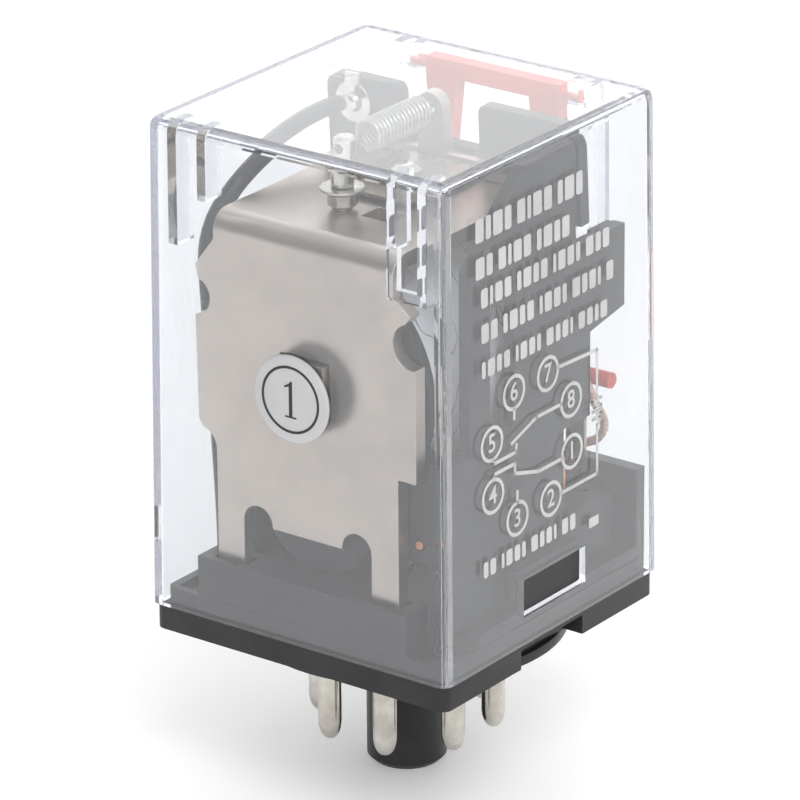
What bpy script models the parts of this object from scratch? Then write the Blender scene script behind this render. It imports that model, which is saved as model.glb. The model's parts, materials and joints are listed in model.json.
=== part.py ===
"""Plug-in relay on an eight-pin octal base, built as separate named pieces.

The relay stands on the end of its spigot, with the spigot's axis on the world's Z axis. The plate of
the yoke faces -Y, and the armature and the test lever are towards +Y. Metres, +Z up.
"""
import math

import bmesh
import bpy
from mathutils import Matrix, Vector

MM = 0.001

# Clearances
FIT = 0.15 * MM  # pieces that are riveted, pressed or wound together
GAP = 0.3 * MM  # pieces that rest against each other
TOUCH = 0.1 * MM  # contact faces that meet

# Octal base
PIN_CIRCLE = 17.45 * MM
PIN_DIAMETER = 2.36 * MM
PIN_LENGTH = 10.7 * MM  # below the boss
PIN_HEAD = 0.8 * MM  # above the floor of the base
PIN_COUNT = 8
SPIGOT_DIAMETER = 7.9 * MM
SPIGOT_LENGTH = 14.7 * MM
SPIGOT_CHAMFER = 0.6 * MM
KEY_WIDTH = 1.6 * MM
KEY_HEIGHT = 1.2 * MM
BOSS_THICKNESS = 1.0 * MM
BOSS_MARGIN = 1.5 * MM  # boss edge inside the flange edge
FLANGE_THICKNESS = 2.5 * MM
FLANGE_INSET = 0.35 * MM  # flange edge inside the cover's face
FLANGE_CORNER = 1.0 * MM
FLOOR_HEIGHT = 1.8 * MM
RAIL_HEIGHT = 3.2 * MM
RAIL_WIDTH = 3.8 * MM
REAR_WALL_HEIGHT = 11.2 * MM
REAR_WALL_THICKNESS = 1.5 * MM
FRONT_BLOCK_HEIGHT = 6.0 * MM
FRONT_BLOCK_DEPTH = 3.9 * MM
FOOT_DEPTH = 3.0 * MM  # yoke feet in the front block
PRY_NOTCH_DEPTH = 2.1 * MM
PRY_NOTCH_HEIGHT = 2.0 * MM

# Cover
COVER_WIDTH = 35.5 * MM
COVER_WALL = 1.05 * MM
COVER_DRAFT = 0.43 * MM  # each side, over the height
COVER_EDGE = 1.1 * MM
HEAD_ROOM = 7.65 * MM  # above the yoke
LATCH_WIDTH = 10.2 * MM
LATCH_HEIGHT = 3.8 * MM
LATCH_RISE = 3.05 * MM
FRONT_RIB_DEPTH = 2.8 * MM
FRONT_RIB_INSET = 1.6 * MM  # outer rib to the inside of the side wall
FRONT_RIB_WIDTH = 4.6 * MM
FRONT_RIB_LONG = 11.4 * MM
FRONT_RIB_SHORT = 6.4 * MM
POCKET_DEPTH = 1.15 * MM  # shallow pocket in front of the yoke's plate
REAR_RIB_WIDTH = 3.0 * MM
REAR_RIB_DEPTH = 2.2 * MM
REAR_RIB_LENGTH = 14.0 * MM
RIB_THICKNESS = 1.1 * MM
EJECTOR_MARK = 4.0 * MM
EJECTOR_MARK_DEPTH = 0.15 * MM
LABEL_DIAMETER = 8.8 * MM
LABEL_THICKNESS = 0.3 * MM

# Coil and yoke
SIDE_ROOM = 3.65 * MM  # bobbin flange to the cover's wall
FRONT_ROOM = 1.5 * MM  # yoke plate to the cover's wall
COIL_LIFT = 7.0 * MM  # bobbin flange above the front block
PLATE_THICKNESS = 1.6 * MM
PLATE_MARGIN = 0.2 * MM  # plate edge inside the bobbin flange
PLATE_BEND = 2.0 * MM
LEG_STEP = 2.1 * MM  # legs and top leg set in from the plate edge
LEG_WIDTH = 3.2 * MM
ARCH_RADIUS = 1.7 * MM
YOKE_ROOM = 0.6 * MM  # bobbin flange to the yoke's top leg
BOBBIN_WALL = 1.1 * MM
WINDING_MARGIN = 1.4 * MM  # winding inside the flange edge
WRAP_THICKNESS = 0.35 * MM
CORE_DIAMETER = 8.0 * MM
CORE_END = 5.4 * MM  # square end riveted in the plate
CORE_END_PROUD = 0.8 * MM
POLE_STANDOFF = 1.3 * MM
RING_WIDTH = 0.7 * MM
RING_RADIUS = 2.6 * MM

# Armature and contacts
OPEN_ANGLE = math.radians(3.5)
ARMATURE_THICKNESS = 1.4 * MM
ARMATURE_WIDTH = 15.0 * MM
ARMATURE_BELOW_CORE = 7.5 * MM
TAIL_WIDTH = 3.2 * MM
TAB_WIDTH = 2.2 * MM
TAB_SPREAD = 11.0 * MM
CARRIER_THICKNESS = 1.35 * MM
CARRIER_MARGIN = 2.15 * MM
CARRIER_NOTCH = 9.2 * MM
CARRIER_BELOW_YOKE = 3.3 * MM
CARRIER_ABOVE_YOKE = 6.1 * MM
BLADE_THICKNESS = 0.3 * MM
BLADE_WIDTH = 3.2 * MM
BLADE_INSET = 2.0 * MM  # blade centre inside the bobbin flange edge
BLADE_TIP = 1.5 * MM  # blade below its contact
CONTACT_BELOW_CORE = 3.0 * MM
BUTTON_DIAMETER = 2.6 * MM
BUTTON_HEIGHT = 0.55 * MM
SHANK_DIAMETER = 1.2 * MM
RIVET_DIAMETER = 1.6 * MM
RIVET_HEAD = 0.45 * MM
LUG_THICKNESS = 0.5 * MM
LUG_DIAMETER = 4.2 * MM
STRIP_THICKNESS = 0.4 * MM
STRIP_WIDTH = 2.2 * MM
LEVER_ROOM = 5.9 * MM  # lever to the open armature, at the contacts
LEVER_THICKNESS = 1.6 * MM
LEVER_WALL_ROOM = 0.55 * MM
LEVER_WIDTH = 15.8 * MM
LEVER_BAR = 1.8 * MM
LEVER_DROP = 1.65 * MM  # lever pivot below the cover's ceiling
TRUNNION_DIAMETER = 1.2 * MM
BUTTON_PAD_WIDTH = 9.2 * MM
BUTTON_PAD_HEIGHT = 9.0 * MM
HORN_DIAMETER = 1.6 * MM
HORN_SPAN = 26.4 * MM
PANEL_THICKNESS = 1.3 * MM
PANEL_ROOM = 2.05 * MM  # panel to the cover's wall
WING_INSET = 1.1 * MM  # rear wing of a panel inside the lever's back
WING_ABOVE_CORE = 10.4 * MM
WING_FOOT = 2.0 * MM  # low edge of the wing above the core
BLOCK_HEIGHT = 5.5 * MM  # side blocks that hold the fixed strips

# Return spring and wires
SPRING_RADIUS = 1.45 * MM
SPRING_WIRE = 0.4 * MM
SPRING_LENGTH = 8.8 * MM
SPRING_TURNS = 11
SPRING_OFFSET = -1.1 * MM  # spring, its post and the armature's tail, off the middle
SPRING_POST_DIAMETER = 2.9 * MM
SPRING_POST_SETBACK = 7.6 * MM
SPRING_DROP = 2.25 * MM  # spring axis below the cover's ceiling
SLEEVE_DIAMETER = 1.9 * MM
BRAID_DIAMETER = 1.0 * MM
LEAD_DIAMETER = 0.5 * MM
LINK_DIAMETER = 0.8 * MM

# Levels above the flange, which the cover stands on
SEAT = SPIGOT_LENGTH + BOSS_THICKNESS + FLANGE_THICKNESS
BOSS_BOTTOM = SPIGOT_LENGTH
FLOOR = SEAT + FLOOR_HEIGHT
RAIL = SEAT + RAIL_HEIGHT
FRONT_BLOCK = SEAT + FRONT_BLOCK_HEIGHT
INNER = COVER_WIDTH / 2 - COVER_WALL
FLANGE_RADIUS = INNER - SIDE_ROOM
CORE_Z = FRONT_BLOCK + COIL_LIFT + FLANGE_RADIUS
YOKE_UNDER = CORE_Z + FLANGE_RADIUS + YOKE_ROOM
YOKE_TOP = YOKE_UNDER + PLATE_THICKNESS
CEILING = YOKE_TOP + HEAD_ROOM
COVER_TOP = CEILING + COVER_WALL
COVER_BOTTOM = SEAT + FIT
HINGE_Z = YOKE_TOP - PLATE_THICKNESS / 2
CONTACT_Z = CORE_Z - CONTACT_BELOW_CORE
SPRING_Z = CEILING - SPRING_DROP
LEVER_PIVOT_Z = CEILING - LEVER_DROP
PANEL_OUTER = INNER - PANEL_ROOM
PANEL_INNER = PANEL_OUTER - PANEL_THICKNESS

# Stations along Y, from the plate backwards and from the rear wall forwards
PLATE_FRONT = FRONT_ROOM - INNER
PLATE_BACK = PLATE_FRONT + PLATE_THICKNESS
BOBBIN_FRONT = PLATE_BACK + GAP
LEVER_BACK = INNER - LEVER_WALL_ROOM
LEVER_FRONT = LEVER_BACK - LEVER_THICKNESS
ARM_SWING = (HINGE_Z - CONTACT_Z) * math.sin(OPEN_ANGLE)
ARMATURE_BACK = LEVER_FRONT - LEVER_ROOM - ARM_SWING
ARMATURE_FRONT = ARMATURE_BACK - ARMATURE_THICKNESS
POLE_FACE = ARMATURE_FRONT - TOUCH
BOBBIN_BACK = POLE_FACE - POLE_STANDOFF
YOKE_END = ARMATURE_FRONT - GAP
CARRIER_FRONT = ARMATURE_BACK + FIT
BLADE_FRONT = CARRIER_FRONT + CARRIER_THICKNESS + FIT
BLADE_BACK = BLADE_FRONT + BLADE_THICKNESS
NO_FACE = BLADE_FRONT - TOUCH - BUTTON_HEIGHT - TOUCH
NO_STRIP_BACK = NO_FACE - BUTTON_HEIGHT - TOUCH
NC_FACE = BLADE_BACK + TOUCH + BUTTON_HEIGHT + ARM_SWING + TOUCH
NC_STRIP_FRONT = NC_FACE + BUTTON_HEIGHT + TOUCH
BLADE_X = FLANGE_RADIUS - BLADE_INSET
BLADE_RIVET_Z = YOKE_TOP + 3.6 * MM
LUG_FRONT = CARRIER_FRONT - TOUCH - LUG_THICKNESS
SPRING_POST_Y = PLATE_FRONT + SPRING_POST_SETBACK
SPRING_MIDDLE = SPRING_POST_Y + SPRING_POST_SETBACK

MATERIALS = {
    "black_phenolic": ((0.016, 0.016, 0.018), 0.45, 0.0),
    "dark_moulding": ((0.035, 0.035, 0.04), 0.5, 0.0),
    "clear_cover": ((0.88, 0.92, 0.94), 0.06, 0.0),
    "white_label": ((0.82, 0.82, 0.82), 0.5, 0.0),
    "nickel_plate": ((0.62, 0.58, 0.53), 0.32, 1.0),
    "nickel_pin": ((0.72, 0.71, 0.68), 0.25, 1.0),
    "contact_silver": ((0.83, 0.82, 0.8), 0.22, 1.0),
    "spring_steel": ((0.6, 0.61, 0.6), 0.28, 1.0),
    "spring_bronze": ((0.66, 0.6, 0.5), 0.3, 1.0),
    "copper": ((0.72, 0.35, 0.2), 0.35, 1.0),
    "coil_tape": ((0.52, 0.54, 0.56), 0.55, 0.0),
    "red_moulding": ((0.62, 0.07, 0.04), 0.4, 0.0),
    "sleeve_black": ((0.02, 0.02, 0.025), 0.4, 0.0),
}


def clear_scene():
    """Remove every object, so that the model starts from an empty scene."""
    for obj in list(bpy.data.objects):
        bpy.data.objects.remove(obj, do_unlink=True)


def make_collection(name):
    """Make a collection and link it to the scene."""
    collection = bpy.data.collections.new(name)
    bpy.context.scene.collection.children.link(collection)
    return collection


def make_material(name):
    """Make the named material from its colour, roughness and metallic value."""
    material = bpy.data.materials.get(name)
    if material is None:
        colour, roughness, metallic = MATERIALS[name]
        material = bpy.data.materials.new(name)
        material.use_nodes = True
        shader = material.node_tree.nodes["Principled BSDF"]
        shader.inputs["Base Color"].default_value = (*colour, 1.0)
        shader.inputs["Roughness"].default_value = roughness
        shader.inputs["Metallic"].default_value = metallic
        material.diffuse_color = (*colour, 1.0)
    return material


def add_piece(name, data, location=(0, 0, 0), rotation=(0, 0, 0)):
    """Add an object with the given mesh or curve to the relay's collection."""
    obj = bpy.data.objects.new(name, data)
    obj.location = location
    obj.rotation_euler = rotation
    bpy.data.collections["plug_in_relay"].objects.link(obj)
    return obj


def finish(obj, material, smooth_angle=40):
    """Give a piece its material and smooth its round faces."""
    obj.data.materials.clear()
    obj.data.materials.append(make_material(material))
    obj.data.shade_smooth()
    obj.data.set_sharp_from_angle(angle=math.radians(smooth_angle))
    return obj


def mesh_from(builder):
    """Make a mesh from what builder adds to an empty bmesh."""
    mesh = bpy.data.meshes.new("shape")
    bm = bmesh.new()
    builder(bm)
    bmesh.ops.recalc_face_normals(bm, faces=bm.faces)
    bm.to_mesh(mesh)
    bm.free()
    return mesh


def box(name, x, y, z):
    """Box between pairs of X, Y and Z values, with its origin at its centre."""
    size = [abs(pair[1] - pair[0]) for pair in (x, y, z)]
    centre = [(pair[0] + pair[1]) / 2 for pair in (x, y, z)]

    def build(bm):
        bmesh.ops.create_cube(bm, size=1.0, matrix=Matrix.Diagonal((*size, 1.0)))

    return add_piece(name, mesh_from(build), centre)


def cylinder(name, diameter, length, centre, axis="Z", segments=32):
    """Cylinder along an axis, with its origin at its centre."""
    turn = {"X": (0, math.pi / 2, 0), "Y": (-math.pi / 2, 0, 0), "Z": (0, 0, 0)}[axis]

    def build(bm):
        bmesh.ops.create_cone(bm, cap_ends=True, segments=segments, radius1=diameter / 2,
                              radius2=diameter / 2, depth=length)

    return add_piece(name, mesh_from(build), centre, turn)


def arc(centre, radius, start, end, steps=8):
    """Points on a circle between two angles in degrees."""
    angles = [math.radians(start + (end - start) * i / steps) for i in range(steps + 1)]
    return [(centre[0] + radius * math.cos(a), centre[1] + radius * math.sin(a)) for a in angles]


def rounded_rectangle(half_x, half_y, radius, steps=4):
    """Outline of a rectangle about the origin, with round corners."""
    points = []
    for turn, (sx, sy) in enumerate(((1, 1), (-1, 1), (-1, -1), (1, -1))):
        centre = (sx * (half_x - radius), sy * (half_y - radius))
        points += arc(centre, radius, 90 * turn, 90 * turn + 90, steps)
    return points


def plate(name, outline, thickness, location, facing="Z"):
    """Flat plate from a closed outline, centred on location.

    A plate facing Y takes its outline in X and Z, and one facing X takes it in Y and Z.
    """
    curve = bpy.data.curves.new(name, "CURVE")
    curve.dimensions = "2D"
    curve.fill_mode = "BOTH"
    curve.extrude = thickness / 2
    spline = curve.splines.new("POLY")
    spline.points.add(len(outline) - 1)
    for point, (u, v) in zip(spline.points, outline):
        point.co = (u, v, 0, 1)
    spline.use_cyclic_u = True
    turn = {"Z": (0, 0, 0), "Y": (math.pi / 2, 0, 0), "X": (math.pi / 2, 0, math.pi / 2)}[facing]
    return curve_to_mesh(add_piece(name, curve, location, turn))


def tube(name, points, diameter, material, resolution=2):
    """Round wire along points given in world coordinates."""
    curve = bpy.data.curves.new(name, "CURVE")
    curve.dimensions = "3D"
    curve.bevel_depth = diameter / 2
    curve.bevel_resolution = resolution
    curve.use_fill_caps = True
    spline = curve.splines.new("POLY")
    spline.points.add(len(points) - 1)
    origin = Vector(points[0])
    for point, place in zip(spline.points, points):
        point.co = (*(Vector(place) - origin), 1)
    curve.materials.append(make_material(material))
    return curve_to_mesh(add_piece(name, curve, origin))


def curve_to_mesh(obj):
    """Replace a curve object with a closed mesh of the same shape, in the same place."""
    graph = bpy.context.evaluated_depsgraph_get()
    graph.update()
    mesh = bpy.data.meshes.new_from_object(obj.evaluated_get(graph))
    bm = bmesh.new()
    bm.from_mesh(mesh)
    bmesh.ops.remove_doubles(bm, verts=bm.verts, dist=0.000001)
    bmesh.ops.recalc_face_normals(bm, faces=bm.faces)
    bm.to_mesh(mesh)
    bm.free()
    name = obj.name
    place = obj.matrix_world.copy()
    bpy.data.objects.remove(obj, do_unlink=True)
    solid = add_piece(name, mesh)
    solid.matrix_world = place
    return solid


def smooth_route(points, step):
    """Points every step along a smooth curve through the given points."""
    knots = [Vector(p) for p in points]
    padded = [2 * knots[0] - knots[1], *knots, 2 * knots[-1] - knots[-2]]
    route = []
    for i in range(1, len(padded) - 2):
        before, start, end, after = padded[i - 1:i + 3]
        count = max(1, round((end - start).length / step))
        for k in range(count):
            t = k / count
            route.append(0.5 * (2 * start + (end - before) * t
                                + (2 * before - 5 * start + 4 * end - after) * t * t
                                + (3 * start - before - 3 * end + after) * t ** 3))
    route.append(knots[-1])
    return [tuple(p) for p in route]


def turned(name, profile, location, axis="Z", steps=40):
    """Closed solid of revolution from (radius, height) points that run down its outer side."""
    mesh = bpy.data.meshes.new(name)
    bm = bmesh.new()
    verts = [bm.verts.new((radius, 0, height)) for radius, height in profile]
    for first, second in zip(verts, verts[1:]):
        bm.edges.new((first, second))
    if profile[0][0] > 0:
        bm.edges.new((verts[-1], verts[0]))
    bm.to_mesh(mesh)
    bm.free()
    turn = {"Y": (-math.pi / 2, 0, 0), "Z": (0, 0, 0)}[axis]
    obj = add_piece(name, mesh, location, turn)
    screw = obj.modifiers.new("turn", "SCREW")
    screw.angle = math.tau
    screw.steps = steps
    screw.render_steps = steps
    screw.use_merge_vertices = True
    screw.merge_threshold = 0.000001
    return obj


def combine(obj, others, operation="DIFFERENCE"):
    """Cut, join or intersect obj with other objects, which become hidden guides."""
    guides = bpy.data.collections["guides"]
    for number, other in enumerate(others):
        modifier = obj.modifiers.new(f"{operation.lower()}_{number}", "BOOLEAN")
        modifier.operation = operation
        modifier.solver = "EXACT"
        modifier.object = other
        for collection in list(other.users_collection):
            collection.objects.unlink(other)
        guides.objects.link(other)
        other.hide_render = True
        other.display_type = "WIRE"
    return obj


def pivot(name, location, rotation_x, children):
    """Empty on a joint's axis that carries its children, turned about X."""
    empty = bpy.data.objects.new(name, None)
    empty.location = location
    empty.empty_display_size = 2 * MM
    bpy.data.collections["plug_in_relay"].objects.link(empty)
    for child in children:
        child.location = child.location - empty.location
        child.parent = empty
    empty.rotation_euler.x = rotation_x
    return empty


def pin_place(number):
    """X and Y of a pin, numbered from the key at +Y and counterclockwise from above."""
    angle = math.pi / 2 + math.tau * (number - 0.5) / PIN_COUNT
    return PIN_CIRCLE / 2 * math.cos(angle), PIN_CIRCLE / 2 * math.sin(angle)


def cover_half(z):
    """Half of the cover's outer width at a height, from its draft."""
    return COVER_WIDTH / 2 - COVER_DRAFT * (z - SEAT) / (COVER_TOP - SEAT)


def build_base():
    """Black octal base: flange, keyed spigot, raised rails, walls and latch noses."""
    half = COVER_WIDTH / 2 - FLANGE_INSET
    edge = INNER - GAP
    base = plate("octal_base", rounded_rectangle(half, half, FLANGE_CORNER), FLANGE_THICKNESS,
                 (0, 0, SEAT - FLANGE_THICKNESS / 2))
    sink = FLANGE_THICKNESS / 2
    boss_diameter = 2 * (half - BOSS_MARGIN)
    boss_depth = BOSS_THICKNESS + sink
    radius = SPIGOT_DIAMETER / 2
    spigot_top = BOSS_BOTTOM + sink
    spigot = [(0, spigot_top), (radius, spigot_top), (radius, SPIGOT_CHAMFER), (radius - SPIGOT_CHAMFER, 0),
              (0, 0)]
    parts = [
        cylinder("boss", boss_diameter, boss_depth, (0, 0, BOSS_BOTTOM + boss_depth / 2), segments=64),
        turned("spigot", spigot, (0, 0, 0)),
        box("key", (-KEY_WIDTH / 2, KEY_WIDTH / 2), (0, SPIGOT_DIAMETER / 2 + KEY_HEIGHT),
            (SPIGOT_CHAMFER, BOSS_BOTTOM + sink)),
        plate("floor", rounded_rectangle(edge, edge, FLANGE_CORNER), FLOOR_HEIGHT + sink,
              (0, 0, FLOOR - (FLOOR_HEIGHT + sink) / 2)),
        box("front_block", (-FLANGE_RADIUS + PLATE_MARGIN * 3, FLANGE_RADIUS - PLATE_MARGIN * 3),
            (-edge + TOUCH, -edge + FRONT_BLOCK_DEPTH), (SEAT, FRONT_BLOCK)),
        box("rear_wall", (-edge + TOUCH, edge - TOUCH), (edge - REAR_WALL_THICKNESS, edge - TOUCH),
            (SEAT, SEAT + REAR_WALL_HEIGHT)),
    ]
    nose = LATCH_WIDTH / 2 - GAP
    low = SEAT + LATCH_RISE + GAP
    high = SEAT + LATCH_RISE + LATCH_HEIGHT - GAP
    for side in (-1, 1):
        inner_x = side * (edge - RAIL_WIDTH)
        outer_x = side * (edge - TOUCH)
        parts.append(box("rail", (inner_x, outer_x), (-edge + 5.2 * MM, edge - GAP), (SEAT, RAIL)))
        parts.append(box("latch_post", (side * (PANEL_OUTER + GAP), outer_x), (-nose - GAP, nose + GAP),
                         (SEAT, high + FLOOR_HEIGHT / 2)))
        parts.append(box("latch_nose", (side * (PANEL_OUTER + FIT * 3), side * (INNER + COVER_WALL / 2)),
                         (-nose, nose), (low, high)))
    combine(base, parts, "UNION")
    cuts = []
    for number in range(1, PIN_COUNT + 1):
        x, y = pin_place(number)
        cuts.append(cylinder("pin_bore", PIN_DIAMETER + 2 * FIT, SEAT, (x, y, SEAT), segments=20))
    for side in (-1, 1):
        notch_x = side * (half - PRY_NOTCH_DEPTH)
        cuts.append(box("pry_notch", (notch_x, side * COVER_WIDTH), (-nose - GAP, nose + GAP),
                        (SEAT - FLANGE_THICKNESS, SEAT - FLANGE_THICKNESS + PRY_NOTCH_HEIGHT)))
        cuts.append(box("foot_slot", (side * (leg_outer() + GAP), side * (leg_outer() - LEG_WIDTH - GAP)),
                        (PLATE_FRONT - GAP, PLATE_BACK + GAP),
                        (FRONT_BLOCK - FOOT_DEPTH - GAP, FRONT_BLOCK + FOOT_DEPTH)))
        pocket_x = side * (FLANGE_RADIUS - PLATE_MARGIN)
        cuts.append(box("pocket", (pocket_x, side * (edge - FLOOR_HEIGHT / 2)),
                        (-edge + FLOOR_HEIGHT / 2, -edge + FRONT_BLOCK_DEPTH),
                        (SEAT + FLOOR_HEIGHT / 2, FLOOR + RAIL)))
    sleeve_x, sleeve_y = sleeve_foot()
    cuts.append(cylinder("sleeve_hole", SLEEVE_DIAMETER + 2 * FIT, RAIL_HEIGHT,
                         (sleeve_x, sleeve_y, RAIL), segments=16))
    combine(base, cuts)
    return finish(base, "black_phenolic")


def leg_outer():
    """Outer X of the yoke's legs and top leg."""
    return FLANGE_RADIUS - PLATE_MARGIN - LEG_STEP


def sleeve_foot():
    """X and Y where the sleeved wire enters the base."""
    return -(INNER - GAP - RAIL_WIDTH / 2), PLATE_FRONT + 5.9 * MM


def build_pins():
    """Eight nickel-plated octal pins with pointed tips."""
    radius = PIN_DIAMETER / 2
    top = FLOOR + PIN_HEAD
    bottom = BOSS_BOTTOM - PIN_LENGTH
    profile = [(0, top), (radius * 0.9, top), (radius, top - 0.2 * MM), (radius, bottom + 1.7 * MM),
               (radius * 0.86, bottom + 0.9 * MM), (radius * 0.5, bottom + 0.25 * MM), (0, bottom)]
    for number in range(1, PIN_COUNT + 1):
        x, y = pin_place(number)
        finish(turned(f"pin_{number}", profile, (x, y, 0), steps=20), "nickel_pin")


def yoke_outline():
    """Front outline of the yoke: bitten sides, stepped shoulders, two legs and two arches."""
    edge = FLANGE_RADIUS - PLATE_MARGIN
    leg = leg_outer()
    inner_leg = leg - LEG_WIDTH
    foot = FRONT_BLOCK - FOOT_DEPTH
    belly = FRONT_BLOCK + 4.4 * MM
    shoulder = YOKE_TOP - 5.6 * MM
    step = CORE_Z - 7.0 * MM
    bite = CORE_Z + 6.7 * MM
    arch_z = belly + 0.25 * MM
    right = [(leg - 0.15 * MM, YOKE_TOP + GAP), (leg - 0.15 * MM, shoulder + 1.3 * MM),
             (edge - 0.5 * MM, shoulder)]
    right += arc((edge - 0.3 * MM, bite), 2.3 * MM, 110, 268, 10)
    right += [(edge, bite - 2.2 * MM), (edge, step), (leg, step), (leg, foot), (inner_leg, foot)]
    right += arc((inner_leg - ARCH_RADIUS, arch_z), ARCH_RADIUS, 0, 180, 10)
    right += [(inner_leg - 2 * ARCH_RADIUS, belly)]
    left = [(-inner_leg + 2 * ARCH_RADIUS, belly)]
    left += arc((-inner_leg + ARCH_RADIUS, arch_z), ARCH_RADIUS, 0, 180, 10)
    left += [(-inner_leg, foot), (-leg, foot), (-leg, step - 2.6 * MM)]
    left += arc((-edge + 0.2 * MM, step - 1.9 * MM), 1.9 * MM, 0, 80, 5)
    left += [(-edge, step + 0.8 * MM), (-edge - 0.2 * MM, bite - 2.3 * MM)]
    left += arc((-edge - 0.3 * MM, bite - 0.4 * MM), 1.9 * MM, -80, 75, 8)
    left += [(-edge - 0.1 * MM, shoulder - 0.1 * MM), (-leg, shoulder + 2.8 * MM),
             (-leg, YOKE_TOP + GAP)]
    return right + left


def build_yoke():
    """Bent nickel-plated yoke: front plate with two feet, and a top leg with two hinge tabs."""
    bend = arc((PLATE_FRONT + PLATE_BEND, YOKE_TOP - PLATE_BEND), PLATE_BEND, 180, 90, 6)
    inner_bend = PLATE_BEND - PLATE_THICKNESS
    hollow = arc((PLATE_FRONT + PLATE_BEND, YOKE_TOP - PLATE_BEND), inner_bend, 90, 180, 3)
    foot = FRONT_BLOCK - FOOT_DEPTH
    profile = [(PLATE_FRONT, foot - GAP), *bend, (YOKE_END, YOKE_TOP), (YOKE_END, YOKE_UNDER), *hollow,
               (PLATE_BACK, foot - GAP)]
    yoke = plate("yoke", profile, COVER_WIDTH, (0, 0, 0), facing="X")
    depth = YOKE_END - PLATE_FRONT + 2 * GAP
    front = plate("yoke_front", yoke_outline(), depth, (0, PLATE_FRONT - GAP + depth / 2, 0), facing="Y")
    combine(yoke, [front], "INTERSECT")
    tabs = [box("hinge_tab", (x - TAB_WIDTH / 2, x + TAB_WIDTH / 2), (YOKE_END - GAP, ARMATURE_BACK - TOUCH),
                (HINGE_Z - 0.5 * MM, HINGE_Z + 0.5 * MM)) for x in (-TAB_SPREAD / 2, TAB_SPREAD / 2)]
    combine(yoke, tabs, "UNION")
    hole = CORE_END / 2 + FIT
    post_hole = cylinder("post_hole", SPRING_POST_DIAMETER / 2 + 2 * FIT, 3 * PLATE_THICKNESS,
                         (SPRING_OFFSET, SPRING_POST_Y, YOKE_TOP), segments=24)
    rivet_hole = cylinder("rivet_hole", RIVET_DIAMETER + 2 * FIT, 3 * PLATE_THICKNESS,
                          (0, retainer_y(), YOKE_TOP), segments=20)
    slot_x = SPRING_OFFSET + SPRING_POST_DIAMETER / 2 + 1.0 * MM
    slot_y = SPRING_POST_Y - 0.4 * MM
    slot = box("adjusting_slot", (slot_x, slot_x + 3.0 * MM), (slot_y, slot_y + 2.8 * MM),
               (YOKE_UNDER - GAP, YOKE_TOP + GAP))
    core_hole = box("core_hole", (-hole, hole), (PLATE_FRONT - GAP, PLATE_BACK + GAP),
                    (CORE_Z - hole, CORE_Z + hole))
    combine(yoke, [core_hole, post_hole, rivet_hole, slot])
    return finish(yoke, "nickel_plate")


def retainer_y():
    """Y of the rivet that holds the hinge retainer."""
    return YOKE_END - 5.2 * MM


def build_core():
    """Steel core with a square end riveted in the plate, and the copper ring in its pole face."""
    shoulder = PLATE_BACK + FIT
    middle = (POLE_FACE + shoulder) / 2
    core = cylinder("coil_core", CORE_DIAMETER, POLE_FACE - shoulder, (0, middle, CORE_Z), "Y", segments=40)
    half = CORE_END / 2
    square = box("core_square", (-half, half), (PLATE_FRONT - CORE_END_PROUD, shoulder + GAP),
                 (CORE_Z - half, CORE_Z + half))
    combine(core, [square], "UNION")
    ring_z = CORE_Z - 0.8 * MM
    depth = 1.2 * MM
    outer = RING_RADIUS + FIT
    inner = RING_RADIUS - RING_WIDTH - FIT
    groove = turned("ring_groove", [(inner, depth), (outer, depth), (outer, -depth), (inner, -depth)],
                    (0, POLE_FACE, ring_z), "Y")
    combine(core, [groove])
    finish(core, "spring_steel")
    thickness = depth - GAP
    half_depth = thickness / 2
    bore = RING_RADIUS - RING_WIDTH
    ring = turned("shading_ring", [(bore, half_depth), (RING_RADIUS, half_depth), (RING_RADIUS, -half_depth),
                                   (bore, -half_depth)], (0, POLE_FACE - half_depth - TOUCH / 2, ring_z), "Y")
    finish(ring, "copper")


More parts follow.
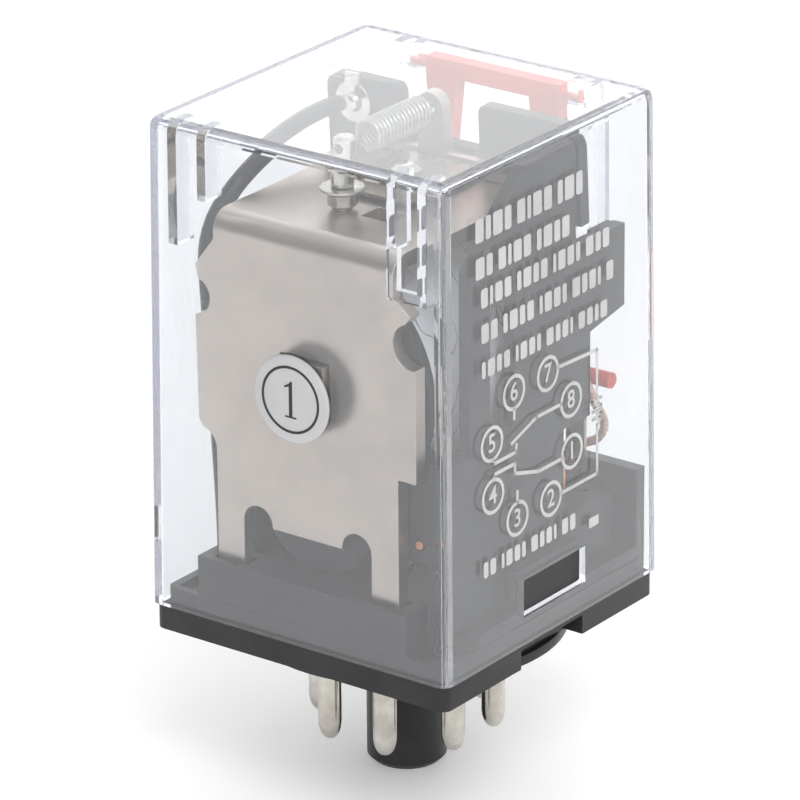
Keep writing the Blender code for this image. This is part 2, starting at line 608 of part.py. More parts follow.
def build_coil():
    """Black bobbin with a rounded foot, copper winding, tape wrap and two wire posts."""
    bore = CORE_DIAMETER / 2 + FIT
    barrel = bore + BOBBIN_WALL
    half = (BOBBIN_BACK - BOBBIN_FRONT) / 2
    middle = (BOBBIN_BACK + BOBBIN_FRONT) / 2
    web = half - BOBBIN_WALL
    profile = [(bore, half), (FLANGE_RADIUS, half), (FLANGE_RADIUS, web), (barrel, web), (barrel, -web),
               (FLANGE_RADIUS, -web), (FLANGE_RADIUS, -half), (bore, -half)]
    bobbin = turned("bobbin", profile, (0, middle, CORE_Z), "Y", steps=56)
    foot_radius = 6.6 * MM
    foot_z = FRONT_BLOCK + foot_radius + GAP
    foot = cylinder("bobbin_foot", 2 * foot_radius, BOBBIN_WALL,
                    (0, BOBBIN_FRONT + BOBBIN_WALL / 2, foot_z), "Y")
    lug_x = FLANGE_RADIUS - 2.1 * MM
    lug_z = FRONT_BLOCK + 5.8 * MM
    lug = box("bobbin_lug", (lug_x - 2.4 * MM, lug_x + 1.9 * MM),
              (BOBBIN_FRONT + TOUCH / 2, BOBBIN_FRONT + BOBBIN_WALL - TOUCH / 2),
              (lug_z - 1.6 * MM, CORE_Z - FLANGE_RADIUS / 3))
    combine(bobbin, [foot, lug], "UNION")
    spots = [(lug_x - 0.8 * MM, lug_z - 0.4 * MM), (lug_x + 0.9 * MM, lug_z + 0.3 * MM)]
    post_length = 4 * BOBBIN_WALL
    holes = [cylinder("post_bore", 0.9 * MM + 2 * FIT, post_length, (x, BOBBIN_FRONT, z), "Y", segments=16)
             for x, z in spots]
    combine(bobbin, holes)
    finish(bobbin, "dark_moulding")
    for number, (x, z) in enumerate(spots, start=1):
        post = cylinder(f"coil_wire_post_{number}", 0.9 * MM, post_length / 2,
                        (x, BOBBIN_FRONT + post_length / 4 - FIT, z), "Y", segments=16)
        finish(post, "nickel_pin" if number == 1 else "copper")
    winding_radius = FLANGE_RADIUS - WINDING_MARGIN
    reach = web - FIT
    layers = (("coil_winding", barrel + FIT, winding_radius, "copper"),
              ("coil_wrap", winding_radius + TOUCH, winding_radius + TOUCH + WRAP_THICKNESS, "coil_tape"))
    for name, inner, outer, material in layers:
        ring = turned(name, [(inner, reach), (outer, reach), (outer, -reach), (inner, -reach)],
                      (0, middle, CORE_Z), "Y", steps=56)
        finish(ring, material)


def build_spring_post():
    """Nickel post on the yoke, with a ring in its groove, that anchors the return spring."""
    radius = SPRING_POST_DIAMETER / 2
    neck = radius / 2
    stem = radius - 0.35 * MM
    seat = YOKE_TOP + GAP
    top = CEILING - 1.2 * MM
    shoulder = YOKE_TOP + 1.9 * MM
    groove = shoulder + 0.5 * MM
    chamfer = 0.3 * MM
    profile = [(0, top), (stem - chamfer, top), (stem, top - chamfer), (stem, groove), (neck, groove),
               (neck, shoulder), (radius - chamfer, shoulder), (radius, shoulder - chamfer),
               (radius, seat + chamfer), (radius - chamfer, seat), (neck, seat), (neck, YOKE_UNDER - GAP),
               (0, YOKE_UNDER - GAP)]
    post = turned("spring_post", profile, (SPRING_OFFSET, SPRING_POST_Y, 0), steps=32)
    hole = cylinder("hook_hole", 1.0 * MM, 4 * radius, (SPRING_OFFSET, SPRING_POST_Y, SPRING_Z), "Y",
                    segments=16)
    combine(post, [hole])
    finish(post, "nickel_pin")
    half = (groove - shoulder) / 2 - TOUCH
    inner = neck + FIT
    outer = radius + 0.75 * MM
    collar = turned("spring_post_collar", [(inner, half), (outer, half), (outer, -half), (inner, -half)],
                    (SPRING_OFFSET, SPRING_POST_Y, (groove + shoulder) / 2), steps=32)
    finish(collar, "nickel_pin")


def build_retainer():
    """Thin clip riveted on the yoke that keeps the armature on its hinge tabs."""
    y = retainer_y()
    thickness = 0.4 * MM
    level = YOKE_TOP + GAP + thickness / 2
    half_x = 4.2 * MM
    reach = YOKE_END - y - GAP
    clip = plate("hinge_retainer", rounded_rectangle(half_x, reach, 0.8 * MM), thickness, (0, y, level))
    hole = cylinder("clip_hole", RIVET_DIAMETER + 2 * FIT, 4 * thickness, (0, y, level), segments=20)
    combine(clip, [hole])
    finish(clip, "spring_bronze")
    head = RIVET_DIAMETER
    top = level + thickness / 2 + GAP
    profile = [(0, top + 0.6 * MM), (head * 0.6, top + 0.5 * MM), (head, top), (RIVET_DIAMETER / 2, top),
               (RIVET_DIAMETER / 2, YOKE_UNDER - GAP), (0, YOKE_UNDER - GAP)]
    finish(turned("retainer_rivet", profile, (0, y, 0), steps=20), "nickel_pin")


def panel_outline(tall):
    """Side outline, in Y and Z, of a panel of the contact block, with its rear wing and notch."""
    foot = RAIL + GAP
    shelf = CORE_Z + WING_ABOVE_CORE
    back = NC_STRIP_FRONT + 0.6 * MM
    notch_low = foot + BLOCK_HEIGHT
    notch_high = CORE_Z - 7.6 * MM
    notch_front = NO_STRIP_BACK - STRIP_THICKNESS - 2.5 * MM
    rear = NO_STRIP_BACK + 1.5 * MM
    wing = LEVER_BACK - WING_INSET
    wing_low = CORE_Z + WING_FOOT
    outline = [(back, foot), (back, notch_low), (notch_front, notch_low), (notch_front, notch_high),
               (rear, notch_high), (rear, wing_low - 1.0 * MM), (wing, wing_low), (wing, shelf)]
    if tall:
        front = PLATE_FRONT + 4.9 * MM
        top = YOKE_TOP + 5.8 * MM
        upper_back = CARRIER_FRONT - 1.0 * MM
        low_front = PLATE_FRONT + 1.0 * MM
        step = CORE_Z - 5.4 * MM
        return [(low_front, foot), *outline, (upper_back, shelf), (upper_back, top),
                (upper_back - 8.4 * MM, top), (front, YOKE_TOP - 2.4 * MM), (front, step), (low_front, step)]
    front = PLATE_FRONT + 9.2 * MM
    return [(front, foot), *outline, (front, shelf)]


def build_contact_block():
    """Dark moulded block: two side panels with rear fins, joined by a bar, that holds the strips."""
    foot = RAIL + GAP
    block_top = foot + BLOCK_HEIGHT
    middle = (PANEL_OUTER + PANEL_INNER) / 2
    back = NC_STRIP_FRONT + 1.8 * MM
    body = plate("contact_block", panel_outline(True), PANEL_THICKNESS, (middle, 0, 0), facing="X")
    parts = [plate("left_panel", panel_outline(False), PANEL_THICKNESS, (-middle, 0, 0), facing="X"),
             box("rear_bar", (-middle, middle), (back - 1.4 * MM, back), (foot + TOUCH, block_top - TOUCH))]
    inner_x = BLADE_X - STRIP_WIDTH / 2 - 1.2 * MM
    front = NO_STRIP_BACK - STRIP_THICKNESS - 1.6 * MM
    for side in (-1, 1):
        parts.append(box("side_block", (side * inner_x, side * (middle + PANEL_THICKNESS / 4)),
                         (front, back - TOUCH), (foot + TOUCH / 2, block_top)))
        parts.append(box("fin", (side * (PANEL_INNER - 0.7 * MM), side * (PANEL_OUTER - 0.3 * MM)),
                         (NC_STRIP_FRONT - 0.4 * MM, LEVER_BACK - WING_INSET - TOUCH),
                         (CORE_Z + WING_FOOT + TOUCH, CORE_Z + WING_ABOVE_CORE - TOUCH)))
    combine(body, parts, "UNION")
    cuts = []
    slot_front = PLATE_FRONT + 8.1 * MM
    slot_half = 1.95 * MM
    slot_low = CORE_Z - 5.2 * MM
    slot_high = CORE_Z + 11.0 * MM
    centre_y = slot_front + slot_half
    slot = arc((centre_y, slot_high - slot_half), slot_half, 0, 180)
    slot += arc((centre_y, slot_low + slot_half), slot_half, 180, 360)
    cuts.append(plate("slot", slot, 3 * PANEL_THICKNESS, (middle, 0, 0), facing="X"))
    for side in (-1, 1):
        for front_y in (NO_STRIP_BACK - STRIP_THICKNESS, NC_STRIP_FRONT):
            x = side * BLADE_X
            half = STRIP_WIDTH / 2 + FIT
            cuts.append(box("strip_slot", (x - half, x + half),
                            (front_y - FIT, front_y + STRIP_THICKNESS + FIT), (foot - GAP, block_top + GAP)))
    combine(body, cuts)
    return finish(body, "dark_moulding")


def build_fixed_contacts():
    """Four fixed strips with a wire tab each, and the silver contacts riveted in them."""
    foot = RAIL + GAP
    block_top = foot + BLOCK_HEIGHT
    top = CONTACT_Z + 1.6 * MM
    half = STRIP_WIDTH / 2
    tab_low = block_top + GAP
    tab_high = tab_low + 1.2 * MM
    centres = {"no": NO_STRIP_BACK - STRIP_THICKNESS / 2, "nc": NC_STRIP_FRONT + STRIP_THICKNESS / 2}
    heads = {"no": NO_FACE, "nc": NC_FACE}
    for side, label in ((-1, "left"), (1, "right")):
        for kind, y in centres.items():
            inner = side * -half
            outer = side * half
            reach = inner - side * 1.5 * MM
            outline = [(outer, foot), (outer, top), (inner, top), (inner, tab_high), (reach, tab_high),
                       (reach, tab_low), (inner, tab_low), (inner, foot)]
            strip = plate(f"{kind}_strip_{label}", outline, STRIP_THICKNESS, (side * BLADE_X, y, 0), "Y")
            hole = cylinder("strip_hole", SHANK_DIAMETER + 2 * FIT, 4 * STRIP_THICKNESS,
                            (side * BLADE_X, y, CONTACT_Z), "Y", segments=16)
            combine(strip, [hole])
            finish(strip, "spring_bronze")
            away = 1 if kind == "nc" else -1
            add_contact(f"{kind}_contact_{label}", side * BLADE_X, heads[kind], away)


def add_contact(name, x, face, away):
    """Riveted silver contact whose face is at Y, with its shank pointing the given way along Y."""
    radius = BUTTON_DIAMETER / 2
    shank = SHANK_DIAMETER / 2
    length = BUTTON_HEIGHT + TOUCH + STRIP_THICKNESS
    profile = [(0, 0), (radius - 0.2 * MM, 0), (radius, -0.2 * MM), (radius, -BUTTON_HEIGHT),
               (shank, -BUTTON_HEIGHT), (shank, -length), (0, -length)]
    contact = turned(name, profile, (x, face, CONTACT_Z), "Z", steps=20)
    contact.rotation_euler = (math.pi / 2 if away > 0 else -math.pi / 2, 0, 0)
    finish(contact, "contact_silver")


def build_armature_group():
    """Armature, moulded carrier and moving contacts, which turn together on the yoke's tabs."""
    half = ARMATURE_WIDTH / 2
    low = CORE_Z - ARMATURE_BELOW_CORE
    high = YOKE_TOP + 1.0 * MM
    tail = TAIL_WIDTH / 2
    tail_top = CEILING - 0.7 * MM
    outline = [(-half, low), (half, low), (half, high), (SPRING_OFFSET + tail, high)]
    outline += arc((SPRING_OFFSET, tail_top - tail), tail, 0, 180, 12)
    outline += [(SPRING_OFFSET - tail, high), (-half, high)]
    armature = plate("armature", outline, ARMATURE_THICKNESS,
                     (0, (ARMATURE_FRONT + ARMATURE_BACK) / 2, 0), "Y")
    slot = TAB_WIDTH / 2 + GAP
    cuts = [box("hinge_slot", (x - slot, x + slot), (ARMATURE_FRONT - GAP, ARMATURE_BACK + GAP),
                (HINGE_Z - 0.5 * MM - GAP, HINGE_Z + 0.5 * MM + GAP))
            for x in (-TAB_SPREAD / 2, TAB_SPREAD / 2)]
    cuts.append(cylinder("hook_hole", 1.2 * MM, 4 * ARMATURE_THICKNESS,
                         (SPRING_OFFSET, ARMATURE_FRONT, SPRING_Z), "Y", segments=16))
    finish(armature, "nickel_plate")
    combine(armature, cuts)
    pieces = [armature, *cuts, *build_carrier(), *build_lug()]
    for side, label in ((-1, "left"), (1, "right")):
        pieces += build_blade(side, label)
    pivot("armature_pivot", Vector((0, ARMATURE_FRONT, HINGE_Z)), OPEN_ANGLE, pieces)


def build_carrier():
    """Dark crossbar on the back of the armature, with a notch for the armature's tail."""
    half = INNER - CARRIER_MARGIN
    low = YOKE_TOP - CARRIER_BELOW_YOKE
    high = YOKE_TOP + CARRIER_ABOVE_YOKE
    notch = CARRIER_NOTCH / 2
    step = YOKE_TOP + 1.4 * MM
    corner = 1.6 * MM
    small = 0.8 * MM
    outline = [(-half, low), (half, low)]
    outline += arc((half - corner, high - corner), corner, 0, 90, 5)
    right = SPRING_OFFSET + notch
    left = SPRING_OFFSET - notch
    outline += arc((right + small, high - small), small, 90, 180, 3)
    outline += [(right, step), (left, step)]
    outline += arc((left - small, high - small), small, 0, 90, 3)
    outline += arc((-half + corner, high - corner), corner, 90, 180, 5)
    carrier = plate("contact_carrier", outline, CARRIER_THICKNESS,
                    (0, CARRIER_FRONT + CARRIER_THICKNESS / 2, 0), "Y")
    holes = [cylinder("carrier_hole", SHANK_DIAMETER + 2 * FIT, 4 * CARRIER_THICKNESS,
                      (x, CARRIER_FRONT, BLADE_RIVET_Z), "Y", segments=16) for x in (-BLADE_X, BLADE_X)]
    combine(carrier, holes)
    finish(carrier, "dark_moulding")
    return [carrier, *holes]


def build_lug():
    """Round wire lug on the front of the carrier, under the left blade's rivet."""
    centre = (-BLADE_X, BLADE_RIVET_Z)
    radius = LUG_DIAMETER / 2
    neck = 0.9 * MM
    outline = arc(centre, radius, 115, 425, 20)
    reach = centre[1] + radius + 1.0 * MM
    outline = [(centre[0] - neck, reach), *outline, (centre[0] + neck, reach)]
    lug = plate("wire_lug", outline, LUG_THICKNESS, (0, LUG_FRONT + LUG_THICKNESS / 2, 0), "Y")
    hole = cylinder("lug_hole", SHANK_DIAMETER + 2 * FIT, 4 * LUG_THICKNESS,
                    (centre[0], LUG_FRONT, centre[1]), "Y", segments=16)
    combine(lug, [hole])
    finish(lug, "nickel_pin")
    return [lug, hole]


def build_blade(side, label):
    """Moving contact blade with its two-sided contact and the rivet that holds it."""
    half = BLADE_WIDTH / 2
    low = CONTACT_Z - BLADE_TIP
    high = BLADE_RIVET_Z + 1.6 * MM
    x = side * BLADE_X
    outline = [(-half * 0.7, low), (half * 0.7, low), (half, low + 1.2 * MM), (half, high), (-half, high),
               (-half, low + 1.2 * MM)]
    middle = (BLADE_FRONT + BLADE_BACK) / 2
    blade = plate(f"moving_blade_{label}", outline, BLADE_THICKNESS, (x, middle, 0), "Y")
    holes = [cylinder("blade_hole", SHANK_DIAMETER + 2 * FIT, 1.0 * MM, (x, middle, z), "Y", segments=16)
             for z in (CONTACT_Z, BLADE_RIVET_Z)]
    combine(blade, holes)
    finish(blade, "spring_bronze")
    radius = BUTTON_DIAMETER / 2
    shank = SHANK_DIAMETER / 2
    inner = BLADE_THICKNESS / 2 + TOUCH
    outer = inner + BUTTON_HEIGHT
    profile = [(0, outer), (radius - 0.2 * MM, outer), (radius, outer - 0.2 * MM), (radius, inner),
               (shank, inner), (shank, -inner), (radius, -inner), (radius, -outer + 0.2 * MM),
               (radius - 0.2 * MM, -outer), (0, -outer)]
    contact = turned(f"moving_contact_{label}", profile, (x, middle, CONTACT_Z), "Y", steps=20)
    finish(contact, "contact_silver")
    reach = middle - (LUG_FRONT if side < 0 else CARRIER_FRONT) + TOUCH
    rivet = turned(f"blade_rivet_{label}", [(0, RIVET_HEAD + inner), (radius * 0.6, RIVET_HEAD + inner),
                                            (radius * 0.8, inner), (shank, inner), (shank, -reach),
                                            (radius * 0.8, -reach), (radius * 0.6, -reach - RIVET_HEAD),
                                            (0, -reach - RIVET_HEAD)],
                   (x, middle, BLADE_RIVET_Z), "Y", steps=16)
    finish(rivet, "nickel_pin")
    return [blade, contact, rivet, *holes]


def build_return_spring():
    """Extension spring from the post on the yoke to the armature's tail, with straight hooks."""
    start = SPRING_MIDDLE - SPRING_LENGTH / 2
    count = 12 * SPRING_TURNS
    tail_front = ARMATURE_FRONT - (SPRING_Z - HINGE_Z) * math.sin(OPEN_ANGLE)
    points = [(SPRING_OFFSET, SPRING_POST_Y, SPRING_Z), (SPRING_OFFSET, start - SPRING_RADIUS / 2, SPRING_Z)]
    for i in range(count + 1):
        angle = math.tau * i * SPRING_TURNS / count - math.pi / 2
        points.append((SPRING_OFFSET + SPRING_RADIUS * math.cos(angle), start + SPRING_LENGTH * i / count,
                       SPRING_Z + SPRING_RADIUS * math.sin(angle)))
    points += [(SPRING_OFFSET, start + SPRING_LENGTH + SPRING_RADIUS / 2, SPRING_Z),
               (SPRING_OFFSET, tail_front + ARMATURE_THICKNESS, SPRING_Z)]
    finish(tube("return_spring", points, SPRING_WIRE, "spring_steel"), "spring_steel")


def build_test_lever():
    """Red test lever hung from the cover, with a button, a pusher and two side horns."""
    half = LEVER_WIDTH / 2
    middle = (LEVER_FRONT + LEVER_BACK) / 2
    top = LEVER_PIVOT_Z + LEVER_BAR / 2
    bar = LEVER_PIVOT_Z - LEVER_BAR / 2
    pad_top = CORE_Z + 6.8 * MM
    pad_low = CORE_Z - ARMATURE_BELOW_CORE
    inner_high = half - 3.6 * MM
    inner_low = half - 2.2 * MM
    outer_low = half - 0.9 * MM
    outline = [(-outer_low, pad_low), (outer_low, pad_low), (outer_low, pad_top), (half, bar + TOUCH),
               (half, top), (-half, top), (-half, bar + TOUCH), (-outer_low, pad_top)]
    lever = plate("test_lever", outline, LEVER_THICKNESS, (0, middle, 0), "Y")
    window = plate("lever_window", [(-inner_low, pad_top), (inner_low, pad_top), (inner_high, bar),
                                    (-inner_high, bar)], 3 * LEVER_THICKNESS, (0, middle, 0), "Y")
    pad_z = CORE_Z - 0.5 * MM
    button_out = cover_half(pad_z) - FIT
    pusher_tip = ARMATURE_BACK + ARM_SWING + GAP
    parts = [
        box("button", (-BUTTON_PAD_WIDTH / 2, BUTTON_PAD_WIDTH / 2), (middle, button_out),
            (pad_z - BUTTON_PAD_HEIGHT / 2, pad_z + BUTTON_PAD_HEIGHT / 2)),
        cylinder("pusher", 2.4 * MM, middle - pusher_tip, (0, (middle + pusher_tip) / 2, CONTACT_Z), "Y",
                 segments=20),
        cylinder("horns", HORN_DIAMETER, HORN_SPAN, (0, middle - 0.2 * MM, pad_low + 1.2 * MM), "X",
                 segments=16),
        cylinder("trunnions", TRUNNION_DIAMETER, 2 * (rear_rib_inner() + RIB_THICKNESS),
                 (0, middle, LEVER_PIVOT_Z), "X", segments=16),
    ]
    combine(lever, [window])
    combine(lever, parts, "UNION")
    finish(lever, "red_moulding")
    pivot("test_lever_pivot", Vector((0, middle, LEVER_PIVOT_Z)), 0.0, [lever, window, *parts])


def rear_rib_inner():
    """Inner X of the ribs on the cover's rear wall, which carry the lever."""
    return LEVER_WIDTH / 2 + 1.0 * MM


def build_cover():
    """Clear cover: drafted shell with latch windows, a button window and ribs in its corners."""
    height = COVER_TOP - COVER_BOTTOM
    half = COVER_WIDTH / 2
    top_half = half - COVER_DRAFT

    def shell(bm):
        bmesh.ops.create_cube(bm, size=1.0, matrix=Matrix.Diagonal((COVER_WIDTH, COVER_WIDTH, height, 1.0)))
        for vert in bm.verts:
            if vert.co.z > 0:
                vert.co.x *= top_half / half
                vert.co.y *= top_half / half
        upright = [edge for edge in bm.edges if abs(edge.verts[0].co.z - edge.verts[1].co.z) > height / 2]
        above = [edge for edge in bm.edges if min(vert.co.z for vert in edge.verts) > 0]
        bmesh.ops.bevel(bm, geom=upright + above, offset=COVER_EDGE, segments=3, affect="EDGES",
                        profile=0.5)
        floor = [face for face in bm.faces if face.calc_center_median().z < -height / 2 + TOUCH]
        bmesh.ops.delete(bm, geom=floor, context="FACES")

    cover = add_piece("clear_cover", mesh_from(shell), (0, 0, (COVER_BOTTOM + COVER_TOP) / 2))
    wall = cover.modifiers.new("wall", "SOLIDIFY")
    wall.thickness = COVER_WALL
    wall.offset = -1.0
    wall.use_even_offset = True
    combine(cover, cover_ribs(), "UNION")
    sides = half + COVER_WALL
    pad_z = CORE_Z - 0.5 * MM
    pad_x = BUTTON_PAD_WIDTH / 2 + GAP
    pad_half = BUTTON_PAD_HEIGHT / 2 + GAP
    latch = (SEAT + LATCH_RISE, SEAT + LATCH_RISE + LATCH_HEIGHT)
    middle = (LEVER_FRONT + LEVER_BACK) / 2
    cuts = [
        box("latch_windows", (-sides, sides), (-LATCH_WIDTH / 2, LATCH_WIDTH / 2), latch),
        box("button_window", (-pad_x, pad_x), (INNER - 2 * COVER_WALL, sides),
            (pad_z - pad_half, pad_z + pad_half)),
        cylinder("trunnion_holes", TRUNNION_DIAMETER + 2 * GAP, 2 * (rear_rib_inner() + 2 * RIB_THICKNESS),
                 (0, middle, LEVER_PIVOT_Z), "X", segments=20),
    ]
    mark = CARRIER_NOTCH / 2 + EJECTOR_MARK * 1.5
    cuts.append(cylinder("ejector_mark", EJECTOR_MARK, 2 * EJECTOR_MARK_DEPTH,
                         (-mark, YOKE_END - EJECTOR_MARK / 3, CEILING)))
    combine(cover, cuts)
    return finish(cover, "clear_cover")


def cover_ribs():
    """Ribs that hang from the cover's ceiling: two channels in front and two behind."""
    ribs = []
    top = CEILING + COVER_WALL / 2
    wall = INNER + COVER_WALL / 3 - COVER_DRAFT
    front_outer = INNER - FRONT_RIB_INSET
    for side in (-1, 1):
        outer = side * front_outer
        inner = side * (front_outer - FRONT_RIB_WIDTH)
        thick = side * RIB_THICKNESS
        back = FRONT_RIB_DEPTH - INNER
        ribs.append(box("front_rib_outer", (outer, outer - thick), (-wall, back),
                        (CEILING - FRONT_RIB_LONG, top)))
        ribs.append(box("front_rib_inner", (inner, inner + thick), (-wall, back - TOUCH),
                        (CEILING - FRONT_RIB_SHORT, top)))
        if side > 0:
            ribs += front_pocket(inner, outer, -wall)
        rear_inner = side * rear_rib_inner()
        rear_outer = side * (rear_rib_inner() + REAR_RIB_WIDTH)
        front = INNER - REAR_RIB_DEPTH
        low = CEILING - REAR_RIB_LENGTH
        ribs.append(box("rear_rib_inner", (rear_inner, rear_inner + thick), (front, wall), (low, top)))
        ribs.append(box("rear_rib_outer", (rear_outer, rear_outer - thick), (front, wall), (low, top)))
    return ribs


def front_pocket(inner, outer, wall):
    """Shallow U below the right front ribs, which clears the yoke's plate."""
    back = POCKET_DEPTH - INNER
    low = CEILING - FRONT_RIB_LONG
    side_top = CEILING - FRONT_RIB_SHORT + GAP
    walls = [box("pocket_side", (inner, inner + RIB_THICKNESS), (wall, back), (low, side_top)),
             box("pocket_floor", (inner + TOUCH, outer - TOUCH), (wall, back - TOUCH / 2),
                 (low + TOUCH / 2, low + RIB_THICKNESS))]
    return walls


def build_label():
    """White disc on the front of the cover, over the end of the core."""
    z = CORE_Z - 0.6 * MM
    back = -cover_half(z - LABEL_DIAMETER / 2) - TOUCH
    place = (0, back - LABEL_THICKNESS / 2, z)
    label = cylinder("number_label", LABEL_DIAMETER, LABEL_THICKNESS, place, "Y", segments=40)
    return finish(label, "white_label")


def build_wires():
    """Sleeved wire and braid of the moving contacts, coil leads and links to the pins."""
    sleeve_x, sleeve_y = sleeve_foot()
    side = -(INNER - SLEEVE_DIAMETER)
    route = [(sleeve_x, sleeve_y, RAIL - 1.0 * MM), (sleeve_x, sleeve_y, RAIL + 4.0 * MM),
             (side, sleeve_y - 0.4 * MM, CORE_Z - 8.0 * MM),
             (side, PLATE_FRONT + 4.6 * MM, CORE_Z + 2.0 * MM),
             (side + 0.4 * MM, PLATE_FRONT + 3.8 * MM, YOKE_TOP - 5.0 * MM),
             (side + 1.8 * MM, PLATE_FRONT + 4.6 * MM, YOKE_TOP - 1.0 * MM),
             (side + 2.4 * MM, PLATE_FRONT + 7.6 * MM, YOKE_TOP + 1.4 * MM),
             (side + 2.4 * MM, PLATE_FRONT + 12.0 * MM, YOKE_TOP + 2.8 * MM),
             (side + 2.6 * MM, PLATE_FRONT + 16.5 * MM, BLADE_RIVET_Z),
             (-BLADE_X - 0.6 * MM, LUG_FRONT - 3.4 * MM, BLADE_RIVET_Z + 0.4 * MM),
             (-BLADE_X, LUG_FRONT - 1.3 * MM, BLADE_RIVET_Z + 0.4 * MM)]
    finish(tube("sleeved_wire", smooth_route(route, 2.0 * MM), SLEEVE_DIAMETER, "sleeve_black", 3),
           "sleeve_black")
    foot = RAIL + GAP
    block_top = foot + BLOCK_HEIGHT
    x, y = pin_place(8)
    pin_top = FLOOR + PIN_HEAD + GAP
    gully = BLADE_X + STRIP_WIDTH / 2 + 0.5 * (PANEL_INNER - BLADE_X - STRIP_WIDTH / 2)
    swing = ARM_SWING
    low = CONTACT_Z - BLADE_TIP
    route = [(BLADE_X + 1.0 * MM, BLADE_BACK + swing + GAP + BRAID_DIAMETER / 2, low + 0.3 * MM),
             (gully, BLADE_BACK + swing + 1.3 * MM, low - 1.6 * MM),
             (gully, NC_STRIP_FRONT + 0.8 * MM, low - 3.4 * MM),
             (gully + 0.3 * MM, NC_STRIP_FRONT + 2.0 * MM, low - 5.2 * MM),
             (gully - 0.4 * MM, NC_STRIP_FRONT + 2.2 * MM, low - 7.8 * MM),
             (BLADE_X - 3.6 * MM, NC_STRIP_FRONT + 0.6 * MM, block_top + 3.0 * MM),
             ((x + BLADE_X) / 2 - 1.6 * MM, NC_STRIP_FRONT - 1.2 * MM, block_top - 0.6 * MM),
             (x + 0.4 * MM, y + 1.2 * MM, pin_top + 2.0 * MM),
             (x, y, pin_top)]
    finish(tube("contact_braid", smooth_route(route, 1.6 * MM), BRAID_DIAMETER, "contact_silver"),
           "contact_silver")
    for side_sign, label, coil_pin in ((-1, "left", 2), (1, "right", 7)):
        x, y = pin_place(coil_pin)
        down = side_sign * (PANEL_INNER - 0.6 * MM)
        lead_y = NO_STRIP_BACK - STRIP_THICKNESS - 0.2 * MM
        start = side_sign * (FLANGE_RADIUS - 4.0 * MM)
        route = [(start, BOBBIN_BACK + GAP + LEAD_DIAMETER / 2, CORE_Z - 8.0 * MM),
                 (down - side_sign * 1.0 * MM, lead_y - 0.6 * MM, CORE_Z - 9.2 * MM),
                 (down, lead_y, CORE_Z - 11.0 * MM), (down, lead_y, block_top + 1.6 * MM),
                 (down - side_sign * 1.2 * MM, lead_y - 2.6 * MM, block_top + 0.2 * MM),
                 (x + side_sign * 1.4 * MM, y + 0.4 * MM, pin_top + 2.2 * MM), (x, y, pin_top)]
        finish(tube(f"coil_lead_{label}", smooth_route(route, 1.2 * MM), LEAD_DIAMETER, "copper"), "copper")
    add_links(pin_top, block_top)


def add_links(pin_top, block_top):
    """Copper links from the tabs of the fixed strips to their pins."""
    tab_z = block_top + GAP + 0.6 * MM
    stations = {"no": NO_STRIP_BACK - STRIP_THICKNESS / 2, "nc": NC_STRIP_FRONT + STRIP_THICKNESS / 2}
    pins = {("no", -1): 3, ("nc", -1): 4, ("nc", 1): 5, ("no", 1): 6}
    tab_end = BLADE_X - STRIP_WIDTH / 2 - 1.5 * MM - GAP
    for (kind, side), number in pins.items():
        x, y = pin_place(number)
        label = "left" if side < 0 else "right"
        start_y = stations[kind]
        spread = 6.6 * MM if kind == "no" else 4.6 * MM
        route = [(side * tab_end, start_y, tab_z),
                 (side * (tab_end - 0.9 * MM), start_y - 0.7 * MM, tab_z - 0.3 * MM),
                 (side * spread, NO_STRIP_BACK - 5.2 * MM, pin_top + 3.4 * MM),
                 (side * (spread + abs(x)) / 2, y + 3.0 * MM, pin_top + 1.6 * MM), (x, y, pin_top)]
        path = smooth_route(route, 1.8 * MM)
        finish(tube(f"{kind}_link_{label}", path, LINK_DIAMETER, "copper"), "copper")


def main():
    """Build the relay."""
    clear_scene()
    make_collection("plug_in_relay")
    make_collection("guides")
    build_base()
    build_pins()
    build_yoke()
    build_core()
    build_coil()
    build_spring_post()
    build_retainer()
    build_contact_block()
    build_fixed_contacts()
    build_armature_group()
    build_return_spring()
    build_test_lever()
    build_cover()
    build_label()
    build_wires()


main()
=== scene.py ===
"""Looks of a plug-in relay: finer shapes, procedural finishes, soft studio light and the camera.

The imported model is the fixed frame. Each class dresses one sub-assembly of the relay, with pieces that
stand for nodes of the frame and ride on their bodies.
"""

import logging
import math
from dataclasses import dataclass, field
from enum import Enum
from typing import Callable, Iterable, Optional, Sequence

